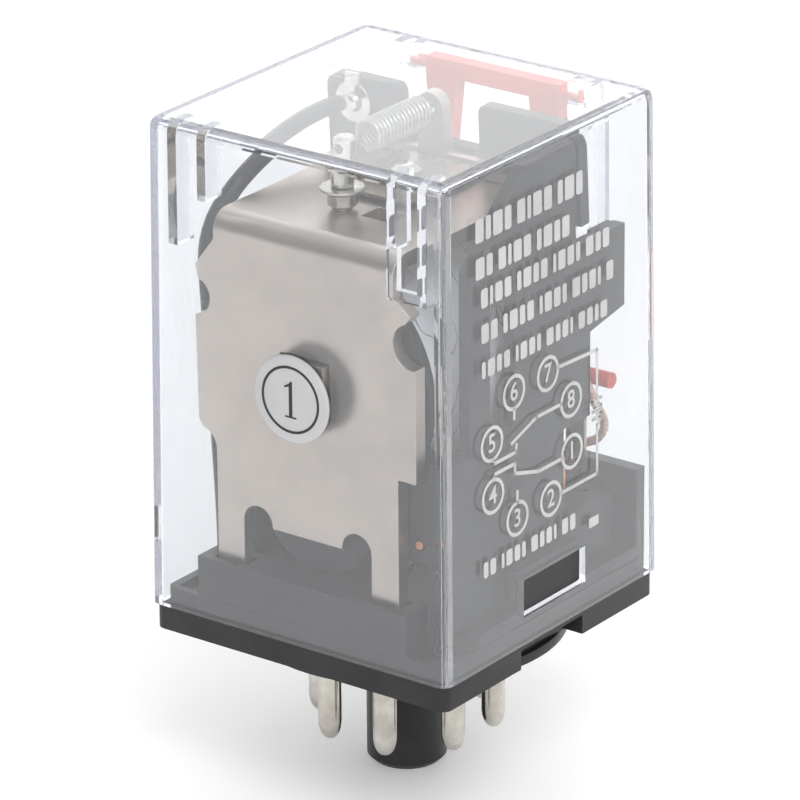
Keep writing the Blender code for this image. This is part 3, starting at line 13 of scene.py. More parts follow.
import bmesh
import bpy
from mathutils import Matrix, Vector, noise
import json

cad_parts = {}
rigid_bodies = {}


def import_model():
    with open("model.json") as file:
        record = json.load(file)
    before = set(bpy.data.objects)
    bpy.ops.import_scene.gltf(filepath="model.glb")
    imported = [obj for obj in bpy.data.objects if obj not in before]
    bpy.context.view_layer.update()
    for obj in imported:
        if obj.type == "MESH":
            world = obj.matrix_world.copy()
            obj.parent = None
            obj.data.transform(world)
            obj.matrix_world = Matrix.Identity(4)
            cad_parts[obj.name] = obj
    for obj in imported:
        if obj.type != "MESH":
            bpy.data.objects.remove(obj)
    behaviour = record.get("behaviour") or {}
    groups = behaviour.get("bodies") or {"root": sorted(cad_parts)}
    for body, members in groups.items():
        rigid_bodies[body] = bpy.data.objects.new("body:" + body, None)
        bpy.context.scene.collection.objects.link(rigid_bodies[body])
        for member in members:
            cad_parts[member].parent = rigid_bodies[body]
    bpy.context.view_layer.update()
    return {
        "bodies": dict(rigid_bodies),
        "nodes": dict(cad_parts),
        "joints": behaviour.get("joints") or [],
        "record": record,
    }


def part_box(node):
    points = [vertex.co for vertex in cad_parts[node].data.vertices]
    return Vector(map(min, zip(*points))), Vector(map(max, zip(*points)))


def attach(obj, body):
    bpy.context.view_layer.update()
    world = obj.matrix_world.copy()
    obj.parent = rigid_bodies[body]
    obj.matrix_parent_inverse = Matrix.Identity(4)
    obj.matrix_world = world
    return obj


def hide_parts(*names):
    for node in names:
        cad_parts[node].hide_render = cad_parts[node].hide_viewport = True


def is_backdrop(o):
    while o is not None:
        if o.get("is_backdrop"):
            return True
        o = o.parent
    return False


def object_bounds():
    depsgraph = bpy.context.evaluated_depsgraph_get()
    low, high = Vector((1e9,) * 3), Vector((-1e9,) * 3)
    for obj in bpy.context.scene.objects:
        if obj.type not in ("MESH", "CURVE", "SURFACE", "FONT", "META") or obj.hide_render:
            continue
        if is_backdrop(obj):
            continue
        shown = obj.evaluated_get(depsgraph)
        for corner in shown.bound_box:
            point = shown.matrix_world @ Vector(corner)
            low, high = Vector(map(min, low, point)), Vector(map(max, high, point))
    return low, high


LOG = logging.getLogger("relay")
MM = 0.001

COVER_IOR = 1.52
COVER_DENSITY = 45.0  # absorption inside the cover's walls, per metre
# Past this depth the cover shows only a painted glow: an emission that stands in for the light further
# bounces would bring.
DEEPEST_BOUNCE = 9.5  # ray depth past which the cover only glows
FLOOR_GLOW = 0.25
SURROUND = 0.85  # strength of the surroundings in reflections
DARK_TOWARD = (-0.55, -0.68, 0.42)
DARK_STRENGTH = 0.12
BRIGHT_TOWARD = (-0.55, 0.75, 0.37)
BRIGHT_EXTRA = 0.9  # added to the surroundings inside the bright patch

Point2 = tuple[float, float]
Point3 = tuple[float, float, float]
Colour = tuple[float, float, float]


class Body(Enum):
    """Rigid bodies of the frame."""

    RELAY = "relay"
    ARMATURE = "armature_group"
    LEVER = "test_lever_group"


class Look(Enum):
    """Kinds of surface that the material library knows how to build."""

    MOULDED = "moulded"
    METAL = "metal"
    TAPE = "tape"
    WOUND = "wound"
    BRAIDED = "braided"
    CLEAR = "clear"
    INK = "ink"


@dataclass(frozen=True)
class Finish:
    """Colours and numbers of one surface.

    Attributes:
        name: name of the material.
        slot: slot of the record that the surface belongs to; not used.
        look: kind of surface.
        colour: main colour, linear.
        second: colour that the main one varies towards.
        roughness: middle of the roughness.
        spread: how far the roughness varies.
        grain: size of the fine grain, in metres.
        relief: height of the fine grain, in metres.
        patch: size of the colour patches, in metres.
    """

    name: str
    slot: str
    look: Look
    colour: Colour
    second: Colour
    roughness: float = 0.4
    spread: float = 0.08
    grain: float = 0.25 * MM
    relief: float = 0.01 * MM
    patch: float = 6 * MM


PHENOLIC = Finish("black_phenolic", "black_phenolic", Look.MOULDED, (0.02, 0.0195, 0.021),
                  (0.032, 0.031, 0.0335), 0.4, 0.1, 0.18 * MM, 0.006 * MM)
MOULDING = Finish("dark_moulding", "dark_moulding", Look.MOULDED, (0.014, 0.014, 0.015),
                  (0.024, 0.024, 0.026), 0.42, 0.1, 0.2 * MM, 0.005 * MM)
RED = Finish("red_moulding", "red_moulding", Look.MOULDED, (0.72, 0.07, 0.035), (0.6, 0.045, 0.025),
             0.35, 0.06, 0.2 * MM, 0.006 * MM)
SLEEVE = Finish("sleeve", "sleeve_black", Look.MOULDED, (0.01, 0.011, 0.014), (0.024, 0.027, 0.036),
                0.24, 0.12, 0.35 * MM, 0.04 * MM, 2 * MM)
NICKEL = Finish("nickel_plate", "nickel_plate", Look.METAL, (0.58, 0.515, 0.46), (0.49, 0.435, 0.39),
                0.32, 0.05, 0.12 * MM, 0.0008 * MM, 6 * MM)
STEEL = Finish("core_steel", "spring_steel", Look.METAL, (0.5, 0.45, 0.41), (0.4, 0.36, 0.33),
               0.36, 0.1, 0.15 * MM, 0.012 * MM, 1.5 * MM)
BRIGHT = Finish("bright_nickel", "nickel_pin", Look.METAL, (0.62, 0.6, 0.55), (0.46, 0.43, 0.39),
                0.15, 0.08, 0.2 * MM, 0.004 * MM, 2 * MM)
SILVER = Finish("contact_silver", "contact_silver", Look.METAL, (0.83, 0.82, 0.8), (0.7, 0.69, 0.67),
                0.2, 0.06, 0.15 * MM, 0.003 * MM, 1 * MM)
SPRING = Finish("spring_steel", "spring_steel", Look.METAL, (0.52, 0.52, 0.5), (0.36, 0.36, 0.35),
                0.22, 0.06, 0.15 * MM, 0.002 * MM, 1 * MM)
BRONZE = Finish("spring_bronze", "spring_bronze", Look.METAL, (0.48, 0.41, 0.33), (0.34, 0.29, 0.23),
                0.26, 0.08, 0.15 * MM, 0.003 * MM, 3 * MM)
COPPER = Finish("copper", "copper", Look.METAL, (0.78, 0.36, 0.2), (0.62, 0.26, 0.14),
                0.28, 0.08, 0.15 * MM, 0.003 * MM, 1 * MM)
WINDING = Finish("winding", "copper", Look.WOUND, (0.5, 0.2, 0.09), (0.3, 0.11, 0.05),
                 0.3, 0.1, 0.14 * MM, 0.03 * MM, 3 * MM)
TAPE = Finish("coil_tape", "coil_tape", Look.TAPE, (0.9, 0.905, 0.92), (0.74, 0.75, 0.77),
              0.34, 0.1, 0.5 * MM, 0.03 * MM, 4 * MM)
BRAID = Finish("braid", "contact_silver", Look.BRAIDED, (0.86, 0.62, 0.5), (0.46, 0.3, 0.22),
               0.3, 0.1, 0.22 * MM, 0.1 * MM, 1 * MM)
CLEAR = Finish("clear_cover", "clear_cover", Look.CLEAR, (0.94, 0.953, 0.967), (0.925, 0.94, 0.957),
               0.0, 0.02, 4 * MM, 0.0, 12 * MM)
LABEL = Finish("label_paper", "white_label", Look.INK, (0.56, 0.56, 0.57), (0.5, 0.5, 0.51), 0.4, 0.08)
LABEL_INK = Finish("label_ink", "white_label", Look.INK, (0.012, 0.012, 0.014), (0.02, 0.02, 0.022),
                   0.45, 0.05)
PRINT = Finish("white_print", "white_label", Look.INK, (0.6, 0.6, 0.605), (0.5, 0.5, 0.505), 0.5, 0.08)


class NodeGroups:
    """Shader node groups that several materials share, each built once."""

    @staticmethod
    def _new(name: str, inputs: Sequence[tuple[str, str, object]], outputs: Sequence[tuple[str, str]]):
        """Make an empty group with its sockets.

        Args:
            name: name of the group.
            inputs: name, socket type and value of each input.
            outputs: name and socket type of each output.

        Returns:
            The group, its input node and its output node.
        """
        group = bpy.data.node_groups.new(name, "ShaderNodeTree")
        for label, kind, value in inputs:
            socket = group.interface.new_socket(label, in_out="INPUT", socket_type=kind)
            socket.default_value = value
        for label, kind in outputs:
            group.interface.new_socket(label, in_out="OUTPUT", socket_type=kind)
        return group, group.nodes.new("NodeGroupInput"), group.nodes.new("NodeGroupOutput")

    @classmethod
    def variation(cls) -> bpy.types.NodeTree:
        """Patches of two colours and a roughness that follows them."""
        found = bpy.data.node_groups.get("surface_variation")
        if found:
            return found
        group, ins, outs = cls._new(
            "surface_variation",
            [("Colour", "NodeSocketColor", (0.5, 0.5, 0.5, 1)),
             ("Second", "NodeSocketColor", (0.4, 0.4, 0.4, 1)),
             ("Patches", "NodeSocketFloat", 100.0), ("Roughness", "NodeSocketFloat", 0.4),
             ("Spread", "NodeSocketFloat", 0.1)],
            [("Colour", "NodeSocketColor"), ("Roughness", "NodeSocketFloat"), ("Mask", "NodeSocketFloat")])
        nodes, links = group.nodes, group.links
        place = nodes.new("ShaderNodeTexCoord")
        blot = nodes.new("ShaderNodeTexNoise")
        blot.inputs["Detail"].default_value = 5.0
        blot.inputs["Roughness"].default_value = 0.6
        ramp = nodes.new("ShaderNodeMapRange")
        ramp.inputs["From Min"].default_value = 0.35
        ramp.inputs["From Max"].default_value = 0.68
        mix = nodes.new("ShaderNodeMix")
        mix.data_type = "RGBA"
        centred = nodes.new("ShaderNodeMath")
        centred.operation = "SUBTRACT"
        centred.inputs[1].default_value = 0.5
        scaled = nodes.new("ShaderNodeMath")
        scaled.operation = "MULTIPLY_ADD"
        links.new(place.outputs["Object"], blot.inputs["Vector"])
        links.new(ins.outputs["Patches"], blot.inputs["Scale"])
        links.new(blot.outputs["Fac"], ramp.inputs["Value"])
        links.new(ramp.outputs["Result"], mix.inputs["Factor"])
        links.new(ins.outputs["Colour"], mix.inputs["A"])
        links.new(ins.outputs["Second"], mix.inputs["B"])
        links.new(ramp.outputs["Result"], centred.inputs[0])
        links.new(centred.outputs[0], scaled.inputs[0])
        links.new(ins.outputs["Spread"], scaled.inputs[1])
        links.new(ins.outputs["Roughness"], scaled.inputs[2])
        links.new(mix.outputs["Result"], outs.inputs["Colour"])
        links.new(scaled.outputs[0], outs.inputs["Roughness"])
        links.new(ramp.outputs["Result"], outs.inputs["Mask"])
        return group

    @classmethod
    def grain(cls) -> bpy.types.NodeTree:
        """Fine relief: noise with a little pitting, as a height."""
        found = bpy.data.node_groups.get("fine_grain")
        if found:
            return found
        group, ins, outs = cls._new("fine_grain", [("Scale", "NodeSocketFloat", 4000.0)],
                                    [("Height", "NodeSocketFloat")])
        nodes, links = group.nodes, group.links
        place = nodes.new("ShaderNodeTexCoord")
        fine = nodes.new("ShaderNodeTexNoise")
        fine.inputs["Detail"].default_value = 3.0
        pits = nodes.new("ShaderNodeTexVoronoi")
        pits.feature = "SMOOTH_F1"
        mix = nodes.new("ShaderNodeMath")
        mix.operation = "MULTIPLY_ADD"
        mix.inputs[1].default_value = 0.4
        links.new(place.outputs["Object"], fine.inputs["Vector"])
        links.new(place.outputs["Object"], pits.inputs["Vector"])
        links.new(ins.outputs["Scale"], fine.inputs["Scale"])
        links.new(ins.outputs["Scale"], pits.inputs["Scale"])
        links.new(pits.outputs["Distance"], mix.inputs[0])
        links.new(fine.outputs["Fac"], mix.inputs[2])
        links.new(mix.outputs[0], outs.inputs["Height"])
        return group

    @classmethod
    def creases(cls) -> bpy.types.NodeTree:
        """Thin wandering lines, as a mask: 1 on a line and 0 off it."""
        found = bpy.data.node_groups.get("crease_lines")
        if found:
            return found
        group, ins, outs = cls._new(
            "crease_lines", [("Scale", "NodeSocketFloat", 300.0), ("Width", "NodeSocketFloat", 0.02),
                             ("Stretch", "NodeSocketVector", (1.0, 1.0, 1.0))],
            [("Mask", "NodeSocketFloat")])
        nodes, links = group.nodes, group.links
        place = nodes.new("ShaderNodeTexCoord")
        stretch = nodes.new("ShaderNodeVectorMath")
        stretch.operation = "MULTIPLY"
        wander = nodes.new("ShaderNodeTexNoise")
        wander.inputs["Detail"].default_value = 1.0
        away = nodes.new("ShaderNodeMath")
        away.operation = "SUBTRACT"
        away.inputs[1].default_value = 0.5
        size = nodes.new("ShaderNodeMath")
        size.operation = "ABSOLUTE"
        ramp = nodes.new("ShaderNodeMapRange")
        ramp.inputs["To Min"].default_value = 1.0
        ramp.inputs["To Max"].default_value = 0.0
        links.new(place.outputs["Object"], stretch.inputs[0])
        links.new(ins.outputs["Stretch"], stretch.inputs[1])
        links.new(stretch.outputs["Vector"], wander.inputs["Vector"])
        links.new(ins.outputs["Scale"], wander.inputs["Scale"])
        links.new(wander.outputs["Fac"], away.inputs[0])
        links.new(away.outputs[0], size.inputs[0])
        links.new(size.outputs[0], ramp.inputs["Value"])
        links.new(ins.outputs["Width"], ramp.inputs["From Max"])
        links.new(ramp.outputs["Result"], outs.inputs["Mask"])
        return group

    @classmethod
    def turns(cls) -> bpy.types.NodeTree:
        """Close parallel turns of wire along an axis, as a height and a mask of the grooves."""
        found = bpy.data.node_groups.get("wire_turns")
        if found:
            return found
        group, ins, outs = cls._new(
            "wire_turns",
            [("Pitch", "NodeSocketFloat", 5000.0), ("Along", "NodeSocketVector", (0.0, 1.0, 0.0))],
            [("Height", "NodeSocketFloat"), ("Groove", "NodeSocketFloat")])
        nodes, links = group.nodes, group.links
        place = nodes.new("ShaderNodeTexCoord")
        along = nodes.new("ShaderNodeVectorMath")
        along.operation = "DOT_PRODUCT"
        phase = nodes.new("ShaderNodeMath")
        phase.operation = "MULTIPLY"
        wave = nodes.new("ShaderNodeMath")
        wave.operation = "SINE"
        high = nodes.new("ShaderNodeMath")
        high.operation = "ABSOLUTE"
        groove = nodes.new("ShaderNodeMapRange")
        groove.inputs["From Max"].default_value = 0.45
        groove.inputs["To Min"].default_value = 1.0
        groove.inputs["To Max"].default_value = 0.0
        links.new(place.outputs["Object"], along.inputs[0])
        links.new(ins.outputs["Along"], along.inputs[1])
        links.new(along.outputs["Value"], phase.inputs[0])
        links.new(ins.outputs["Pitch"], phase.inputs[1])
        links.new(phase.outputs[0], wave.inputs[0])
        links.new(wave.outputs[0], high.inputs[0])
        links.new(high.outputs[0], groove.inputs["Value"])
        links.new(high.outputs[0], outs.inputs["Height"])
        links.new(groove.outputs["Result"], outs.inputs["Groove"])
        return group


class MaterialLibrary:
    """Builds each finish's material once, and hands it out."""

    def __init__(self) -> None:
        self.made: dict[str, bpy.types.Material] = {}
        self.builders: dict[Look, Callable[[Finish, bpy.types.Material], None]] = {
            Look.MOULDED: self._moulded, Look.METAL: self._metal, Look.TAPE: self._tape,
            Look.WOUND: self._wound, Look.BRAIDED: self._braided, Look.CLEAR: self._clear,
            Look.INK: self._ink,
        }

    def get(self, finish: Finish) -> bpy.types.Material:
        """Return the material of a finish.

        Args:
            finish: the finish to look up.

        Returns:
            Its material, built if it wasn't yet.
        """
        if finish.name not in self.made:
            material = bpy.data.materials.new(f"look_{finish.name}")
            material.use_nodes = True
            self.builders[finish.look](finish, material)
            self.made[finish.name] = material
            LOG.info("material %s", finish.name)
        return self.made[finish.name]

    @staticmethod
    def _group(material: bpy.types.Material, tree: bpy.types.NodeTree, **values):
        """Place a node group in a material with its input values."""
        node = material.node_tree.nodes.new("ShaderNodeGroup")
        node.node_tree = tree
        for name, value in values.items():
            node.inputs[name].default_value = value
        return node

    def _base(self, finish: Finish, material: bpy.types.Material, metallic: float):
        """Principled shader with varied colour and roughness, and fine grain in its normal."""
        links = material.node_tree.links
        shader = material.node_tree.nodes["Principled BSDF"]
        shader.inputs["Metallic"].default_value = metallic
        varied = self._group(material, NodeGroups.variation(), Colour=(*finish.colour, 1),
                             Second=(*finish.second, 1), Patches=1 / finish.patch,
                             Roughness=finish.roughness, Spread=finish.spread)
        links.new(varied.outputs["Colour"], shader.inputs["Base Color"])
        links.new(varied.outputs["Roughness"], shader.inputs["Roughness"])
        grain = self._group(material, NodeGroups.grain(), Scale=1 / finish.grain)
        bump = material.node_tree.nodes.new("ShaderNodeBump")
        bump.inputs["Distance"].default_value = finish.relief
        links.new(grain.outputs["Height"], bump.inputs["Height"])
        links.new(bump.outputs["Normal"], shader.inputs["Normal"])
        return shader, varied, grain, bump

    def _moulded(self, finish: Finish, material: bpy.types.Material) -> None:
        """Moulded plastic with fine grain and slightly uneven gloss."""
        shader, *_ = self._base(finish, material, 0.0)
        shader.inputs["Specular IOR Level"].default_value = 0.3

    def _metal(self, finish: Finish, material: bpy.types.Material) -> None:
        """Plated or bare metal with faint scratches."""
        shader, varied, *_ = self._base(finish, material, 1.0)
        links = material.node_tree.links
        lines = self._group(material, NodeGroups.creases(), Scale=900.0, Width=0.006,
                            Stretch=(1.0, 1.0, 0.08))
        add = material.node_tree.nodes.new("ShaderNodeMath")
        add.operation = "MULTIPLY_ADD"
        add.inputs[1].default_value = 0.03
        links.new(lines.outputs["Mask"], add.inputs[0])
        links.new(varied.outputs["Roughness"], add.inputs[2])
        links.new(add.outputs[0], shader.inputs["Roughness"])

    def _tape(self, finish: Finish, material: bpy.types.Material) -> None:
        """Pale glossy tape with painted shade as dark lines in its wrinkles and along the edges of its
        layers.
        """
        shader, varied, *_ = self._base(finish, material, 0.0)
        nodes, links = material.node_tree.nodes, material.node_tree.links
        lines = self._group(material, NodeGroups.creases(), Scale=170.0, Width=0.011, Stretch=(0.8, 1.5, 0.8))
        # Painted shade: near-black lines mixed into the tape's colour where its wrinkles and layer edges
        # would fall in shade.
        mix = nodes.new("ShaderNodeMix")
        mix.data_type = "RGBA"
        mix.inputs["B"].default_value = (0.05, 0.05, 0.06, 1)
        links.new(lines.outputs["Mask"], mix.inputs["Factor"])
        links.new(varied.outputs["Colour"], mix.inputs["A"])
        links.new(mix.outputs["Result"], shader.inputs["Base Color"])
        shader.inputs["Coat Weight"].default_value = 0.4
        shader.inputs["Coat Roughness"].default_value = 0.15

    def _wound(self, finish: Finish, material: bpy.types.Material) -> None:
        """Enamelled wire wound in close turns."""
        *_, bump = self._base(finish, material, 1.0)
        links = material.node_tree.links
        turns = self._group(material, NodeGroups.turns(), Pitch=math.pi / finish.grain)
        links.new(turns.outputs["Height"], bump.inputs["Height"])

    def _braided(self, finish: Finish, material: bpy.types.Material) -> None:
        """Tinned strands that cross each other, with painted shade in the grooves between them."""
        shader, varied, _, bump = self._base(finish, material, 1.0)
        nodes, links = material.node_tree.nodes, material.node_tree.links
        pitch = math.pi / finish.grain
        first = self._group(material, NodeGroups.turns(), Pitch=pitch, Along=(0.6, 0.5, 0.6))
        second = self._group(material, NodeGroups.turns(), Pitch=pitch, Along=(-0.6, 0.5, 0.6))
        highest = nodes.new("ShaderNodeMath")
        highest.operation = "MAXIMUM"
        # Painted shade: the finish's darker second colour mixed in where the grooves of both sets of strands
        # meet.
        painted_groove_shade = nodes.new("ShaderNodeMath")
        painted_groove_shade.operation = "MULTIPLY"
        mix = nodes.new("ShaderNodeMix")
        mix.data_type = "RGBA"
        mix.inputs["B"].default_value = (*finish.second, 1)
        links.new(first.outputs["Height"], highest.inputs[0])
        links.new(second.outputs["Height"], highest.inputs[1])
        links.new(highest.outputs[0], bump.inputs["Height"])
        links.new(first.outputs["Groove"], painted_groove_shade.inputs[0])
        links.new(second.outputs["Groove"], painted_groove_shade.inputs[1])
        links.new(painted_groove_shade.outputs[0], mix.inputs["Factor"])
        links.new(varied.outputs["Colour"], mix.inputs["A"])
        links.new(mix.outputs["Result"], shader.inputs["Base Color"])

    def _clear(self, finish: Finish, material: bpy.types.Material) -> None:
        """Clear moulded plastic that lets light through to what is inside, with a painted glow past a deep
        ray depth in place of the light that further bounces would bring.
        """
        nodes, links = material.node_tree.nodes, material.node_tree.links
        shader = nodes["Principled BSDF"]
        shader.inputs["Transmission Weight"].default_value = 0.96
        shader.inputs["IOR"].default_value = COVER_IOR
        varied = self._group(material, NodeGroups.variation(), Colour=(*finish.colour, 1),
                             Second=(*finish.second, 1), Patches=1 / finish.patch,
                             Roughness=finish.roughness, Spread=finish.spread)
        links.new(varied.outputs["Colour"], shader.inputs["Base Color"])
        shader.inputs["Roughness"].default_value = 0.0
        through = nodes.new("ShaderNodeBsdfTransparent")
        through.inputs["Color"].default_value = (0.95, 0.96, 0.97, 1)
        path = nodes.new("ShaderNodeLightPath")
        mix = nodes.new("ShaderNodeMixShader")
        # Painted glow: grey-lavender emission the cover shows past the deepest bounce, standing in for light,
        # not a lamp.
        painted_glow = nodes.new("ShaderNodeEmission")
        painted_glow.inputs["Color"].default_value = (0.62, 0.62, 0.68, 1)
        deep = nodes.new("ShaderNodeMath")
        deep.operation = "GREATER_THAN"
        deep.inputs[1].default_value = DEEPEST_BOUNCE
        guided = nodes.new("ShaderNodeMixShader")
        links.new(path.outputs["Is Shadow Ray"], mix.inputs["Fac"])
        links.new(shader.outputs["BSDF"], mix.inputs[1])
        links.new(through.outputs["BSDF"], mix.inputs[2])
        links.new(path.outputs["Ray Depth"], deep.inputs[0])
        links.new(deep.outputs[0], guided.inputs["Fac"])
        links.new(mix.outputs["Shader"], guided.inputs[1])
        links.new(painted_glow.outputs["Emission"], guided.inputs[2])
        links.new(guided.outputs["Shader"], nodes["Material Output"].inputs["Surface"])
        tint = nodes.new("ShaderNodeVolumeAbsorption")
        tint.inputs["Color"].default_value = (0.78, 0.79, 0.86, 1)
        tint.inputs["Density"].default_value = COVER_DENSITY
        links.new(tint.outputs["Volume"], nodes["Material Output"].inputs["Volume"])

    def _ink(self, finish: Finish, material: bpy.types.Material) -> None:
        """Paper or printed ink with slightly uneven cover."""
        self._base(finish, material, 0.0)


class Workshop:
    """Makes pieces and ties them to the frame."""

    def __init__(self, frame: dict, library: MaterialLibrary) -> None:
        self.frame = frame
        self.library = library

    def settle(self, obj: bpy.types.Object, finish: Finish, body: Body, *nodes: str) -> bpy.types.Object:
        """Give a piece its finish, its body and the nodes that it stands for.

        Args:
            obj: the piece.
            finish: its finish.
            body: the body it rides on.
            nodes: CAD nodes it stands for.

        Returns:
            The same piece.
        """
        obj.data.materials.clear()
        obj.data.materials.append(self.library.get(finish))
        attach(obj, body.value)
        if nodes:
            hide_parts(*nodes)
        LOG.info("piece %s rides on %s", obj.name, body.value)
        return obj

    def link(self, name: str, data) -> bpy.types.Object:
        """Add an object with the given data to the scene."""
        obj = bpy.data.objects.new(name, data)
        bpy.context.scene.collection.objects.link(obj)
        return obj

    def from_bmesh(self, name: str, bm: bmesh.types.BMesh, smooth: float = 35.0) -> bpy.types.Object:
        """Turn a bmesh into an object, smooth where its faces meet at less than an angle.

        Args:
            name: name of the piece.
            bm: its shape, which is freed.
            smooth: angle in degrees.

        Returns:
            The new object.
        """
        bmesh.ops.recalc_face_normals(bm, faces=bm.faces)
        mesh = bpy.data.meshes.new(name)
        bm.to_mesh(mesh)
        bm.free()
        mesh.shade_smooth()
        mesh.set_sharp_from_angle(angle=math.radians(smooth))
        return self.link(name, mesh)

    def refine(self, node: str, finish: Finish, body: Body, edge: float = 0.0, segments: int = 2,
               subdivide: int = 0, smooth: float = 35.0, facets: bool = False) -> bpy.types.Object:
        """Stand a finer copy of a CAD node in its place, with rounded edges.

        Args:
            node: the CAD node.
            finish: finish of the copy.
            body: body it rides on.
            edge: radius of its rounded edges, in metres.
            segments: segments in each rounded edge.
            subdivide: levels of subdivision, for wires.
            smooth: angle under which faces are smooth, in degrees.
            facets: leave every face flat, as glass needs.

        Returns:
            The finer piece.
        """
        bm = bmesh.new()
        bm.from_mesh(self.frame["nodes"][node].data)
        bmesh.ops.remove_doubles(bm, verts=bm.verts, dist=2e-6)
        bmesh.ops.dissolve_limit(bm, angle_limit=math.radians(0.6), verts=bm.verts, edges=bm.edges)
        obj = self.from_bmesh(f"fine_{node}", bm, smooth)
        if edge:
            bevel = obj.modifiers.new("edges", "BEVEL")
            bevel.width = edge
            bevel.segments = segments
            bevel.limit_method = "ANGLE"
            bevel.angle_limit = math.radians(40)
            bevel.use_clamp_overlap = True
            bevel.harden_normals = not facets
        if facets:
            obj.data.shade_flat()
        if subdivide:
            soft = obj.modifiers.new("soft", "SUBSURF")
            soft.levels = subdivide
            soft.render_levels = subdivide
        return self.settle(obj, finish, body, node)

    def tube(self, name: str, points: Sequence[Point3], radius: float, sides: int = 6) -> bpy.types.Object:
        """Round wire along points, as a curve.

        Args:
            name: name of the piece.
            points: its centreline in metres.
            radius: its radius in metres.
            sides: bevel resolution.

        Returns:
            The curve object.
        """
        curve = bpy.data.curves.new(name, "CURVE")
        curve.dimensions = "3D"
        curve.bevel_depth = radius
        curve.bevel_resolution = sides
        curve.use_fill_caps = True
        spline = curve.splines.new("POLY")
        spline.points.add(len(points) - 1)
        for point, place in zip(spline.points, points):
            point.co = (*place, 1.0)
        spline.use_smooth = True
        return self.link(name, curve)

    def lathe(self, name: str, profile: Sequence[Point2], centre: Point3, axis: Vector, steps: int = 64,
              shift: Optional[Callable[[float, float, float], float]] = None) -> bpy.types.Object:
        """Turned piece from (radius, height) points about an axis.

        Args:
            name: name of the piece.
            profile: points from one end of the axis to the other.
            centre: where the profile's zero height lies.
            axis: direction of the axis.
            steps: segments round the axis.
            shift: change of radius at an angle, a height and a radius.

        Returns:
            The new object.
        """
        bm = bmesh.new()
        turn = axis.to_track_quat("Z", "Y").to_matrix()
        rings = []
        for radius, height in profile:
            if radius < 1e-7:
                rings.append([bm.verts.new(turn @ Vector((0, 0, height)) + Vector(centre))])
                continue
            ring = []
            for i in range(steps):
                angle = math.tau * i / steps
                r = radius + (shift(angle, height, radius) if shift else 0.0)
                ring.append(bm.verts.new(turn @ Vector((r * math.cos(angle), r * math.sin(angle), height))
                                         + Vector(centre)))
            rings.append(ring)
        for low, high in zip(rings, rings[1:]):
            for i in range(steps):
                j = (i + 1) % steps
                corners = [low[i % len(low)], low[j % len(low)], high[j % len(high)], high[i % len(high)]]
                corners = list(dict.fromkeys(corners))
                if len(corners) > 2:
                    bm.faces.new(corners)
        return self.from_bmesh(name, bm)


@dataclass
class ReliefPrint:
    """Flat marks laid on a plane, gathered in one mesh.

    Attributes:
        place: turns a mark's (u, v) in millimetres into a world point.
        height: thickness of the ink in metres.
        normal: direction the ink stands out.
    """

    place: Callable[[float, float], Vector]
    normal: Vector
    height: float = 0.03 * MM
    bm: bmesh.types.BMesh = field(default_factory=bmesh.new)

    def polygon(self, points: Sequence[Point2]) -> None:
        """Add one filled polygon."""
        low = [self.bm.verts.new(self.place(u, v)) for u, v in points]
        high = [self.bm.verts.new(vert.co + self.normal * self.height) for vert in low]
        self.bm.faces.new(high)
        for i in range(len(points)):
            j = (i + 1) % len(points)
            self.bm.faces.new((low[i], low[j], high[j], high[i]))

    def line(self, points: Sequence[Point2], width: float) -> None:
        """Add a line of one width through points, with its joints filled."""
        for (u0, v0), (u1, v1) in zip(points, points[1:]):
            length = math.hypot(u1 - u0, v1 - v0)
            du, dv = (u1 - u0) / length * width / 2, (v1 - v0) / length * width / 2
            self.polygon([(u0 - du - dv, v0 - dv + du), (u0 - du + dv, v0 - dv - du),
                          (u1 + du + dv, v1 + dv - du), (u1 + du - dv, v1 + dv + du)])

    def ring(self, centre: Point2, radius: float, width: float, steps: int = 40) -> None:
        """Add a circle of one line width."""
        for i in range(steps):
            a, b = math.tau * i / steps, math.tau * (i + 1) / steps
            inner, outer = radius - width / 2, radius + width / 2
            self.polygon([(centre[0] + r * math.cos(t), centre[1] + r * math.sin(t))
                          for r, t in ((inner, a), (outer, a), (outer, b), (inner, b))])

    def digit(self, text: str, centre: Point2, size: float) -> None:
        """Add one numeral from Blender's own font.

        Args:
            text: the numeral.
            centre: its middle, in millimetres.
            size: its size, in millimetres.
        """
        curve = bpy.data.curves.new("numeral", "FONT")
        curve.body = text
        curve.size = size
        curve.align_x = "CENTER"
        curve.align_y = "CENTER"
        curve.offset = size * 0.012
        curve.resolution_u = 4
        helper = bpy.data.objects.new("numeral", curve)
        bpy.context.scene.collection.objects.link(helper)
        graph = bpy.context.evaluated_depsgraph_get()
        mesh = bpy.data.meshes.new_from_object(helper.evaluated_get(graph))
        for face in mesh.polygons:
            points = [mesh.vertices[i].co for i in face.vertices]
            self.polygon([(centre[0] + p.x, centre[1] + p.y) for p in points])
        bpy.data.objects.remove(helper)
        bpy.data.meshes.remove(mesh)


